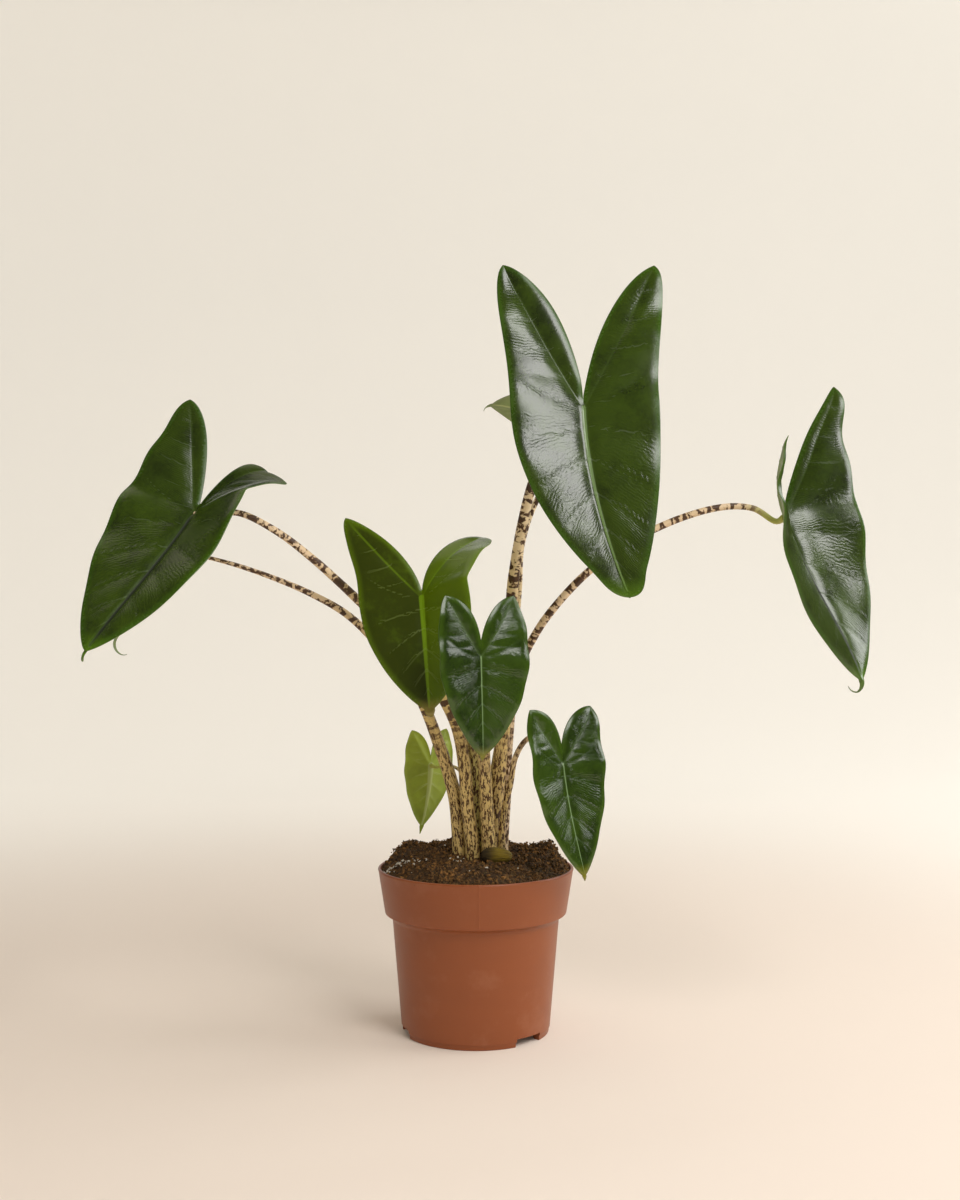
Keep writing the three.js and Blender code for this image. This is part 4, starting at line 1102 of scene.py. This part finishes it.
def pot_profile(settings):
    """Radius and height of the pot's section, from the middle of its underside round its wall to its inner floor."""
    top, band, wall = settings.height / MM, settings.band_height / MM, settings.wall / MM
    base, foot = settings.base_radius / MM, top - band
    shoulder = foot - POT_STEP
    inner_foot = base - POT_FOOT_WIDTH
    rise = np.array([3.4, 3.8, 12, 30, 50, shoulder - 0.5])
    step = np.linspace(shoulder, foot - 1.2, 9)
    band_rise = np.linspace(foot + 1.1, top - 1.6, 5)
    inner_rise = np.array([top - 1, foot, mix(shoulder, foot, 0.6), shoulder, POT_FLOOR + 1.5])
    rim_middle = float(pot_wall(settings, top)) - wall / 2 - 0.1
    return np.concatenate([
        [[0, 0], [POT_BOSS - 0.5, 0], [POT_BOSS, 0.4], [POT_BOSS + 1, POT_RECESS], [inner_foot - 1, POT_RECESS],
         [inner_foot - 0.3, 0.4], [inner_foot + 0.2, 0]],
        corner((base - 1.0, 0.6), 0.6, -90, 0),
        [[base - 0.35, 2.6]],
        np.stack([pot_wall(settings, rise), rise], -1),
        np.stack([pot_wall(settings, step), step], -1),
        corner((float(pot_wall(settings, foot)) - 0.9, foot + 0.3), 0.95, -70, 5),
        np.stack([pot_wall(settings, band_rise), band_rise], -1),
        corner((rim_middle, top - 1.0), wall / 2 + 0.1, 0, 180, 9),
        np.stack([pot_wall(settings, inner_rise) - wall, inner_rise], -1),
        corner((float(pot_wall(settings, POT_FLOOR)) - wall - 1.5, POT_FLOOR + 1.5), 1.5, 0, -90, 4),
        [[0, POT_FLOOR]],
    ])


def cut_notches(pot, base_radius):
    """Cuts the drain notches out of the pot's foot: blocks that are a little narrower at the top."""
    quads = ((0, 1, 3, 2), (4, 6, 7, 5), (0, 4, 5, 1), (2, 3, 7, 6), (0, 2, 6, 4), (1, 5, 7, 3))
    cutters = []
    for number in range(NOTCHES):
        block = np.array(list(itertools.product((-0.5, 0.5), repeat=3))) * NOTCH_SIZE
        x = block[:, 0] + base_radius - NOTCH_SIZE[0] / 2 + NOTCH_OUTSIDE
        y = block[:, 1] * (1 - NOTCH_NARROWING * (block[:, 2] > 0))
        x, y = turn_about(NOTCH_START + number * 360 / NOTCHES, x, y)
        cutters.append(new_object("notch", np.stack([x, y, block[:, 2]], -1) * MM, quads, smooth=False))
        cut = pot.modifiers.new("notch", "BOOLEAN")
        cut.operation, cut.solver, cut.object = "DIFFERENCE", "EXACT", cutters[-1]
    solid = bpy.data.meshes.new_from_object(pot.evaluated_get(bpy.context.evaluated_depsgraph_get()))
    pot.modifiers.clear()
    pot.data = solid
    for cutter in cutters:
        bpy.data.objects.remove(cutter)
    return solid


def make_pot(settings, material):
    """The pot: its section carried round the axis, with a faint mould line down the band, and the drain notches cut out
    of the foot."""
    profile = pot_profile(settings)
    line = np.radians(MOULD_LINE)
    angle = np.arange(settings.sides) / settings.sides * FULL_TURN - np.pi
    angle = np.sort(np.concatenate([angle, line + MOULD_WIDTH * np.linspace(-2, 2, 7)]))
    foot = (settings.height - settings.band_height) / MM
    on_band = (np.arange(len(profile)) < np.argmax(profile[:, 1])) & (profile[:, 1] > foot + 1)
    radius = profile[:, :1] + on_band[:, None] * MOULD_HEIGHT * ridge(angle - line, MOULD_WIDTH)
    pot = new_piece("nursery_pot", round_points(radius, angle, profile[:, 1:]),
                    round_faces(len(profile), len(angle))[:, ::-1], material, ["pot"])
    solid = cut_notches(pot, settings.base_radius / MM)
    solid.materials.clear()
    solid.materials.append(material)
    solid.set_sharp_from_angle(angle=np.radians(SHARP_ANGLE))


def pot_material(settings):
    """Moulded plastic: an even terracotta colour with faint flow marks, a fine grain, and dust near the rim."""
    graph = Graph("pot", Specular_IOR_Level=0.5)
    place = graph.place()
    _, _, height = graph.parts(place)
    flow = graph.streaks(place, (14, 14, 60), roughness=0.5)
    grain = graph.noise(place, 1500, 2, 0.5)
    cloud = graph.noise(place, 38, 4, 0.6)
    color = graph.mix(graph.smooth(flow, 0.3, 0.7) * 0.35, (*settings.color, 1.0),
                      (*(0.86 * part for part in settings.color), 1.0))
    color = graph.mix(graph.smooth(cloud, 0.52, 0.75) * 0.14, color, (186, 132, 104))
    specks = 1 - graph.smooth(graph.cells(place, 260), 0.1, 0.19)
    dirty = specks * graph.smooth(height, 0.084, 0.099) * graph.smooth(graph.noise(place, 55), 0.52, 0.68)
    return graph.set(
        Base_Color=graph.mix(dirty * 0.8, color, (52, 36, 26)),
        Roughness=0.34 + 0.12 * cloud + 0.08 * (grain - 0.5) + 0.3 * dirty,
        Normal=graph.bump(grain + 0.6 * flow, 0.00006, 0.6),
    )


class BuildPot(bpy.types.Operator):
    """Make the nursery pot"""

    bl_idname = "plant.pot"
    bl_label = "Pot"

    def execute(self, context):
        settings = context.scene.plant_pot
        make_pot(settings, pot_material(settings))
        return {"FINISHED"}


# The soil's top in millimetres: the heap behind the stalks, piles as place, widths and height, and lumps as height,
# cell and seed
SOIL_RADIUS, HEAP_HEIGHT, HEAP_START, HEAP_WAVE, COARSE_HEIGHT = 58, 6, 0.3, 9, 1.1
PILES = ((-46, 28, 11, 13, 4.6), (48, 27, 6.5, 12, 7), (-30, 44, 12, 8, 1.8))
LUMPS = ((0.9, 4.6, 1), (0.75, 2.1, 2), (0.4, 1.0, 3))
SOIL_RINGS, SOIL_SIDES, SOIL_TONE = 88, 240, 0.2
# How far the soil stays inside the pot at its rim, and at its wall and floor
SOIL_EDGE_GAP, SOIL_GAP = 0.35, 0.4


def soil_height(settings, x, y):
    """Height of the soil: a flat dome, a heap behind the stalks, two piles at the back of the rim, a small rise at the
    stalks and lumps of several sizes."""
    share = np.hypot(x, y) / SOIL_RADIUS
    dome = settings.dome_height / MM * (1 - share**6)
    back = np.clip(y / 60 + HEAP_START, 0, 1)
    heap = HEAP_HEIGHT * back * (1 - share**14) * (0.75 + 0.25 * np.cos(x / HEAP_WAVE))
    crumb = np.sin(x * 0.61 + 1.3 * np.sin(y * 0.47)) * np.sin(y * 0.73 + 1.7 * np.sin(x * 0.39))
    coarse = COARSE_HEIGHT * crumb * (1 - share**8)
    piles = sum(height * np.exp(-(((x - px) / wx) ** 2) - ((y - py) / wy) ** 2) for px, py, wx, wy, height in PILES)
    place = np.stack([x, y], -1)
    lumps = sum(height * lattice_noise(place, cell, seed) for height, cell, seed in LUMPS)
    edge = smoothstep(1 - share, 0, 0.06)
    return settings.edge_height / MM + dome + heap + coarse + piles * edge + lumps * (0.35 + 0.65 * edge)


def tone_attribute(tones, points):
    """The lightness of each row or crumb as an attribute of all its points."""
    tones = np.repeat(tones, points)
    return {"tone": np.column_stack([tones, 0 * tones, 0 * tones])}


def make_soil(soil, pot, material):
    """The body of soil: rings of the lumpy top, down to the pot's wall and floor."""
    radius = float(pot_wall(pot, pot.height / MM)) - pot.wall / MM - SOIL_EDGE_GAP
    rings = np.linspace(0, 1, SOIL_RINGS) ** 0.85 * radius
    angle = np.arange(SOIL_SIDES) / SOIL_SIDES * FULL_TURN
    floor = POT_FLOOR + SOIL_GAP
    depths = np.array([92, 73, 70, 68, 40, floor])
    walls = pot_wall(pot, depths) - pot.wall / MM - SOIL_GAP
    radii, heights = np.concatenate([rings, walls, [0]]), np.concatenate([0 * rings, depths, [floor]])
    points = round_points(radii[:, None], angle, heights[:, None])
    top = points[: len(rings)]
    top[..., 2] = soil_height(soil, top[..., 0], top[..., 1])
    new_piece("potting_soil", points, round_faces(*points.shape[:2]), material, ["soil"],
              tone_attribute(np.full(len(radii), SOIL_TONE), SOIL_SIDES))


GOLDEN = (1 + 5**0.5) / 2
CRUMB_POINTS = np.array([
    (-1, GOLDEN, 0), (1, GOLDEN, 0), (-1, -GOLDEN, 0), (1, -GOLDEN, 0), (0, -1, GOLDEN), (0, 1, GOLDEN),
    (0, -1, -GOLDEN), (0, 1, -GOLDEN), (GOLDEN, 0, -1), (GOLDEN, 0, 1), (-GOLDEN, 0, -1), (-GOLDEN, 0, 1),
]) / (1 + GOLDEN**2) ** 0.5
CRUMB_FACES = np.array([
    (0, 11, 5), (0, 5, 1), (0, 1, 7), (0, 7, 10), (0, 10, 11), (1, 5, 9), (5, 11, 4), (11, 10, 2), (10, 7, 6),
    (7, 1, 8), (3, 9, 4), (3, 4, 2), (3, 2, 6), (3, 6, 8), (3, 8, 9), (4, 9, 5), (2, 4, 11), (6, 2, 10), (8, 6, 7),
    (9, 8, 1),
])
CRUMB_SEED, CRUMB_REACH = 7, 57.2
# Share of the crumbs that is piled at the back of the rim, at two places, and share that is perlite anywhere
PILED_SHARE, PILED_X, PILED_Y, PILED_SPREAD = 0.1, (-43, 46), 31, (7, 8)
PERLITE_SHARE, PERLITE_TONE = 0.006, 2.0
# Clusters of perlite: place and spread across, place and spread in depth, number of grains
PERLITE = ((-43, 8, -15, 2.6, 80), (-12, 4, -17, 2, 20))


def random_turns(generator, count):
    """Turning matrices from random unit quaternions."""
    w, x, y, z = generator.normal(size=(count, 4)).T
    size = np.sqrt(w * w + x * x + y * y + z * z)
    w, x, y, z = w / size, x / size, y / size, z / size
    return np.stack([
        np.stack([1 - 2 * (y * y + z * z), 2 * (x * y - z * w), 2 * (x * z + y * w)], -1),
        np.stack([2 * (x * y + z * w), 1 - 2 * (x * x + z * z), 2 * (y * z - x * w)], -1),
        np.stack([2 * (x * z - y * w), 2 * (y * z + x * w), 1 - 2 * (x * x + y * y)], -1),
    ], 1)


def keep_inside(x, y, radius):
    """Both coordinates, drawn in to the radius where they lie beyond it."""
    inside = np.minimum(1, radius / np.maximum(np.hypot(x, y), TINY))
    return x * inside, y * inside


def make_crumbs(soil, material):
    """Loose crumbs and perlite: many small knobbly stones of twenty faces, stretched, turned and set in the top of the
    soil. tone is a crumb's lightness, and more than any crumb's for perlite."""
    generator = np.random.default_rng(CRUMB_SEED)
    count = soil.crumbs
    radius = CRUMB_REACH * np.sqrt(generator.random(count))
    angle = generator.random(count) * FULL_TURN
    x, y = radius * np.cos(angle), radius * np.sin(angle)
    size = 0.38 + 0.8 * generator.random(count) ** 3
    white = generator.random(count) < PERLITE_SHARE
    piled = int(count * PILED_SHARE)
    x[:piled] = np.where(np.arange(piled) % 2, *PILED_X) + generator.normal(size=piled) * PILED_SPREAD[0]
    y[:piled] = PILED_Y + generator.normal(size=piled) * PILED_SPREAD[1]
    white[:piled] = False
    first = piled
    for middle_x, spread_x, middle_y, spread_y, number in PERLITE:
        grains = slice(first, first + number)
        x[grains] = generator.normal(size=number) * spread_x + middle_x
        y[grains] = generator.normal(size=number) * spread_y + middle_y
        first += number
    white[piled:first] = True
    size[piled:first] = 0.35 + 0.4 * generator.random(first - piled)
    x, y = keep_inside(x, y, CRUMB_REACH)
    height = soil_height(soil, x, y) + size * 0.25
    height[:piled] += generator.random(piled) * 1.8
    stones = CRUMB_POINTS[None] * (1 + 0.35 * generator.normal(size=(count, len(CRUMB_POINTS), 1)).clip(-1.5, 1.5))
    stones = stones * (size[:, None] * (0.65 + 0.7 * generator.random((count, 3))))[:, None]
    stones = np.einsum("nij,nkj->nki", random_turns(generator, count), stones)
    points = stones + np.stack([x, y, height], -1)[:, None]
    faces = CRUMB_FACES[None] + len(CRUMB_POINTS) * np.arange(count)[:, None, None]
    tone = np.where(white, PERLITE_TONE, generator.random(count))
    new_piece("soil_crumbs", points, faces, material, (), tone_attribute(tone, len(CRUMB_POINTS)), smooth=False)


FIBRE_SEED, FIBRE_STEPS, FIBRE_SIDES, FIBRE_REACH, FIBRE_SINK = 11, 8, 3, 56.5, 0.3
BEHIND_SHARE, FREE_SHARE = 0.3, 0.5


def make_fibres(soil, material):
    """Loose fibres: thin three-sided threads along arched curves, with both ends in the soil or one of them free."""
    generator = np.random.default_rng(FIBRE_SEED)
    count = soil.fibres
    radius = 55 * np.sqrt(generator.random(count))
    angle = generator.random(count) * FULL_TURN
    behind = generator.random(count) < BEHIND_SHARE
    x = np.where(behind, generator.uniform(-45, 50, count), radius * np.cos(angle))
    y = np.where(behind, np.sqrt(np.maximum(54**2 - x * x, 0)) * generator.uniform(0.7, 0.98, count),
                 radius * np.sin(angle))
    length = generator.uniform(3, 9, count)
    heading = generator.random(count)[:, None] * FULL_TURN
    lift = generator.uniform(0.3, 2.4, count) * np.where(behind, 1.2, 0.6)
    share = np.linspace(0, 1, FIBRE_STEPS)[None]
    bow = generator.normal(size=count)[:, None] * 1.2 * np.sin(np.pi * share)
    run = (share - 0.5) * length[:, None]
    x, y = keep_inside(x[:, None] + run * np.cos(heading) - bow * np.sin(heading),
                       y[:, None] + run * np.sin(heading) + bow * np.cos(heading), FIBRE_REACH)
    free = np.where(generator.random(count) < FREE_SHARE, 1.0, 0.0)[:, None]
    arch = lift[:, None] * mix(np.sin(np.pi * share), share**1.5 * 1.3, free)
    centres = np.stack([x, y, soil_height(soil, x, y) - FIBRE_SINK + arch], -1)
    tangents = unit(np.gradient(centres, axis=1))
    across = unit(np.cross(tangents, (0, 0, 1.0)))
    upward = np.cross(tangents, across)
    thickness = generator.uniform(0.07, 0.16, count)[:, None] * (1 - 0.7 * share**2)
    turn = np.arange(FIBRE_SIDES)[:, None] / FIBRE_SIDES * FULL_TURN
    points = centres[:, :, None] + thickness[..., None, None] * (
        np.cos(turn) * across[:, :, None] + np.sin(turn) * upward[:, :, None])
    number = FIBRE_STEPS * FIBRE_SIDES
    caps = np.array([(0, 1, 2), (number - 1, number - 2, number - 3)])
    faces = np.concatenate([round_faces(FIBRE_STEPS, FIBRE_SIDES, False, False), caps])[:, ::-1]
    faces = faces[None] + number * np.arange(count)[:, None, None]
    new_piece("soil_fibres", points, faces, material, (),
              tone_attribute(generator.uniform(0.7, 1.5, count), number))


def soil_material(settings):
    """Damp peat: dark crumbs of several browns, paler fibres, and white perlite."""
    graph = Graph("soil", Specular_IOR_Level=0.3)
    place = graph.place()
    tone, _, _ = graph.parts(graph.attribute("tone"))
    lump = graph.noise(place, 420, 5, 0.65)
    patch = graph.noise(place, 90)
    cells = graph.cells(place, 700)
    color = graph.mix(graph.smooth(lump + 0.4 * tone + 0.3 * (patch - 0.5), 0.48, 1.05), (*settings.color, 1.0),
                      (142, 100, 52))
    color = graph.mix(graph.smooth(graph.noise(place, 800, 3, 0.6), 0.55, 0.7) * 0.4, color, (120, 108, 60))
    color = graph.mix(graph.smooth(cells, 0.4, 0.75) * 0.35, color, (28, 19, 12))
    return graph.set(
        Base_Color=graph.mix(graph.smooth(tone, 1.5, 1.9), color, (206, 198, 184)),
        Roughness=0.8 + 0.18 * lump,
        Normal=graph.bump(lump + 0.5 * cells, 0.0006),
    )


class BuildSoil(bpy.types.Operator):
    """Make the soil with its loose crumbs and fibres"""

    bl_idname = "plant.soil"
    bl_label = "Soil"

    def execute(self, context):
        settings = context.scene.plant_soil
        material = soil_material(settings)
        make_soil(settings, context.scene.plant_pot, material)
        make_crumbs(settings, material)
        make_fibres(settings, material)
        return {"FINISHED"}


CATAPHYLL_AT, CATAPHYLL_SIZE, CATAPHYLL_HEADING = (12.5, -21, 110), (19, 10, 10), -4
CATAPHYLL_RIBS, CATAPHYLL_RIB_SHARE = 14, 0.018
CORM_CENTRE, CORM_RADIUS, CORM_DEPTH = (2.5, 0, 0), 23, 30
CORM_RINGS, CORM_RING_SHARE = 26, 0.02


def ball_angles(rows, sides):
    """Angles from one pole to the other, and round the axis, for a grid of points on a round body."""
    return np.meshgrid(np.linspace(0, np.pi, rows), np.arange(sides) / sides * FULL_TURN, indexing="ij")


def make_cataphyll(material):
    """The basal scale: an ellipsoid that narrows towards its right end, with fine ribs along it."""
    run, angle = ball_angles(40, 48)
    length, width, height = CATAPHYLL_SIZE
    taper = np.sin(run) ** 0.8 * (1 - 0.12 * np.cos(run + np.pi))
    girth = taper * (1 + CATAPHYLL_RIB_SHARE * np.sin(CATAPHYLL_RIBS * angle))
    x, y, z = -np.cos(run) * length / 2, girth * np.cos(angle) * width / 2, girth * np.sin(angle) * height / 2
    flat = np.stack([x / length + 0.5, angle, z / height], -1)
    points = np.stack([*turn_about(CATAPHYLL_HEADING, x, y), z], -1) + CATAPHYLL_AT
    new_piece("basal_scale", points, round_faces(*run.shape)[:, ::-1], material, ["cataphyll"],
              {"flat": flat})


def cataphyll_material():
    """Basal scale: olive yellow, painted dark brown towards its left end as painted shade, with lengthwise veins."""
    graph = Graph("cataphyll", Specular_IOR_Level=0.4)
    along, turn, height = graph.parts(graph.attribute("flat"))
    veins = graph.noise(graph.vector(along * 2, turn * 5, height), 1.6)
    # Painted shade: the colour falls to dark brown towards the scale's left end
    color = graph.mix(graph.smooth(along + 0.3 * (veins - 0.5), 0.15, 0.6), (44, 32, 12), (132, 110, 12))
    color = graph.mix(graph.smooth(veins, 0.45, 0.6) * 0.65, color, (70, 54, 12))
    return graph.set(Base_Color=color, Roughness=0.5 + 0.2 * veins, Normal=graph.bump(veins, 0.001))


def make_corm(material):
    """The buried corm: a round tuber with rings of old leaf scars."""
    run, angle = ball_angles(40, 64)
    radius = CORM_RADIUS * np.sin(run) ** 0.6 * (1 + CORM_RING_SHARE * np.sin(CORM_RINGS * run))
    height = CORM_TOP - CORM_DEPTH / 2 + CORM_DEPTH / 2 * np.cos(run)
    points = round_points(radius, angle, height) + CORM_CENTRE
    new_piece("tuber", points, round_faces(*run.shape), material, ["corm"])


def corm_material():
    """Corm skin: brown, with fibrous rings."""
    graph = Graph("corm", Specular_IOR_Level=0.3)
    rings = graph.streaks(graph.place(), (60, 60, 500), detail=4)
    color = graph.mix(graph.smooth(rings, 0.4, 0.65), (70, 48, 32), (124, 92, 62))
    return graph.set(Base_Color=color, Roughness=0.75 + 0.2 * rings, Normal=graph.bump(rings, 0.0008))


class BuildBase(bpy.types.Operator):
    """Make the basal scale and the buried corm"""

    bl_idname = "plant.base"
    bl_label = "Base of the plant"

    def execute(self, context):
        make_cataphyll(cataphyll_material())
        make_corm(corm_material())
        return {"FINISHED"}


# Radii of the stage in metres: the floor that the plant is mirrored in, the flat part and the turn into the wall
FLOOR_RADIUS, FLAT_RADIUS, TURN_RADIUS, WALL_TOP = 0.6, 0.8, 1.5, 3.0
STAGE_SIDES, TURN_ROWS = 160, 32
# Corners of the card behind the plant that only shows in its gloss: left, right, bottom and top, its distance and glow
CARD, CARD_GLOW = (-0.85, 1.0, 0.0, 1.06, 0.95), 0.95
# The lights, in metres: place, target, size and colour
PLANT_MIDDLE = (0.03, -0.03, 0.25)
LIGHTS = {
    "front": ((0.47, -0.8, 1.02), PLANT_MIDDLE, (0.5, 0.66), (1.0, 0.985, 0.97)),
    "side": ((1.3, 0.05, 0.8), PLANT_MIDDLE, (1.1, 0.6), (0.985, 0.985, 0.975)),
    "fill": ((-0.45, 0.55, 1.6), PLANT_MIDDLE, (1.2, 1.0), (1.0, 0.88, 0.73)),
    "wall": ((1.0, 0.8, 1.9), (0.3, 2.2, 0.9), (1.0, 0.8), (0.93, 0.975, 1.0)),
}
ROOM_LIGHT, ROOM_STRENGTH = (1.0, 0.955, 0.9, 1.0), 0.06


def round_stage(name, radii, heights, material):
    """Part of the seamless stage: circles of the given radii and heights, closed to a disc where the first is 0."""
    angle = np.arange(STAGE_SIDES) / STAGE_SIDES * FULL_TURN
    points = round_points(np.array(radii)[:, None], angle, np.array(heights)[:, None])
    stage = new_object(name, points, round_faces(len(radii), STAGE_SIDES, radii[0] == 0, False), material)
    return stage


def add_stage(settings):
    """The pale floor, which runs up into a round wall outside every view, and the card behind the plant."""
    graph = Graph("paper", Roughness=0.75, Specular_IOR_Level=0.2, Emission_Strength=settings.paper_glow)
    x, y, _ = graph.parts(graph.place())
    # Painted shade and painted light: near the plant the paper is painted darker and warmer and glows a tenth as much
    # as further out
    far = graph.smooth(graph.math("SQRT", x * x + y * y), 0.3, 1.15)
    paper = graph.set(
        Base_Color=graph.mix(far, (*settings.floor, 1.0), (*settings.paper, 1.0)),
        Emission_Color=graph.mix(far, (*(0.1 * part for part in settings.glow), 1.0), (*settings.glow, 1.0)))
    round_stage("floor", (0, 0.1, FLOOR_RADIUS), (0, 0, 0), paper)
    angle = np.linspace(0, np.pi / 2, TURN_ROWS)
    radii = (FLOOR_RADIUS, *(FLAT_RADIUS + TURN_RADIUS * np.sin(angle)), FLAT_RADIUS + TURN_RADIUS)
    heights = (0, *(TURN_RADIUS * (1 - np.cos(angle))), WALL_TOP)
    round_stage("sweep", radii, heights, paper).visible_glossy = False

    left, right, bottom, top, distance = CARD
    glowing = Graph("card", Specular_IOR_Level=0.0, Base_Color=(0, 0, 0, 1), Emission_Color=(*settings.paper, 1.0),
                    Emission_Strength=CARD_GLOW).material
    corners = [(left, distance, bottom), (right, distance, bottom), (right, distance, top), (left, distance, top)]
    card = new_object("card", corners, [(0, 1, 2, 3)], glowing, smooth=False)
    card.visible_camera = card.visible_diffuse = card.visible_shadow = False
    for material in (paper, glowing):
        material.cycles.emission_sampling = "NONE"


def add_light(name, place, target, size, color, power):
    """A rectangular soft light in metres, turned to its target and unseen by the camera."""
    data = bpy.data.lights.new(name, "AREA")
    data.shape, (data.size, data.size_y), data.energy, data.color = "RECTANGLE", size, power, color
    light = bpy.data.objects.new(name, data)
    bpy.context.scene.collection.objects.link(light)
    light.location = place
    light.rotation_euler = (Vector(place) - Vector(target)).to_track_quat("Z", "Y").to_euler()
    light.visible_camera = False


class BuildStage(bpy.types.Operator):
    """Make the floor and its round sweep, the lights and the camera"""

    bl_idname = "plant.stage"
    bl_label = "Stage"

    def execute(self, context):
        scene = context.scene
        settings = scene.plant_stage
        add_stage(settings)
        for name, light in LIGHTS.items():
            add_light(name, *light, getattr(settings, f"{name}_power"))
        scene.world = bpy.data.worlds.new("studio")
        scene.world.use_nodes = True
        background = scene.world.node_tree.nodes["Background"]
        background.inputs["Color"].default_value = ROOM_LIGHT
        background.inputs["Strength"].default_value = ROOM_STRENGTH
        scene.view_settings.view_transform = "Standard"
        data = bpy.data.cameras.new("camera")
        data.sensor_width = SENSOR
        data.lens = settings.focal_pixels / IMAGE_HEIGHT * SENSOR
        data.clip_start, data.clip_end = 0.01, 50
        camera = bpy.data.objects.new("camera", data)
        scene.collection.objects.link(camera)
        camera.location = settings.camera_place
        camera.rotation_euler = (np.pi / 2, 0, 0)
        scene.camera = camera
        return {"FINISHED"}


OPERATORS = (BuildStage, BuildPot, BuildSoil, BuildBase, BuildStalks, BuildBlades)
SETTINGS = {
    "plant_stage": StageSettings, "plant_pot": PotSettings, "plant_soil": SoilSettings,
    "plant_stalks": StalkSettings, "plant_blades": BladeSettings,
}


class PlantPanel(bpy.types.Panel):
    """Steps and settings of the plant"""

    bl_idname = "VIEW3D_PT_plant"
    bl_label = "Potted plant"
    bl_space_type = "VIEW_3D"
    bl_region_type = "UI"
    bl_category = "Plant"

    def draw(self, context):
        for operator in OPERATORS:
            self.layout.operator(operator.bl_idname)
        for name, group in SETTINGS.items():
            box = self.layout.box()
            box.label(text=group.__doc__)
            for prop in group.__annotations__:
                box.prop(getattr(context.scene, name), prop)


CLASSES = (*SETTINGS.values(), *OPERATORS, PlantPanel)


def register():
    for item in CLASSES:
        bpy.utils.register_class(item)
    for name, group in SETTINGS.items():
        setattr(bpy.types.Scene, name, PointerProperty(type=group))


def unregister():
    for name in SETTINGS:
        delattr(bpy.types.Scene, name)
    for item in reversed(CLASSES):
        bpy.utils.unregister_class(item)


def main():
    register()
    for operator in OPERATORS:
        group, name = operator.bl_idname.split(".")
        getattr(getattr(bpy.ops, group), name)()
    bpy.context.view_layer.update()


if __name__ == "__main__":
    main()
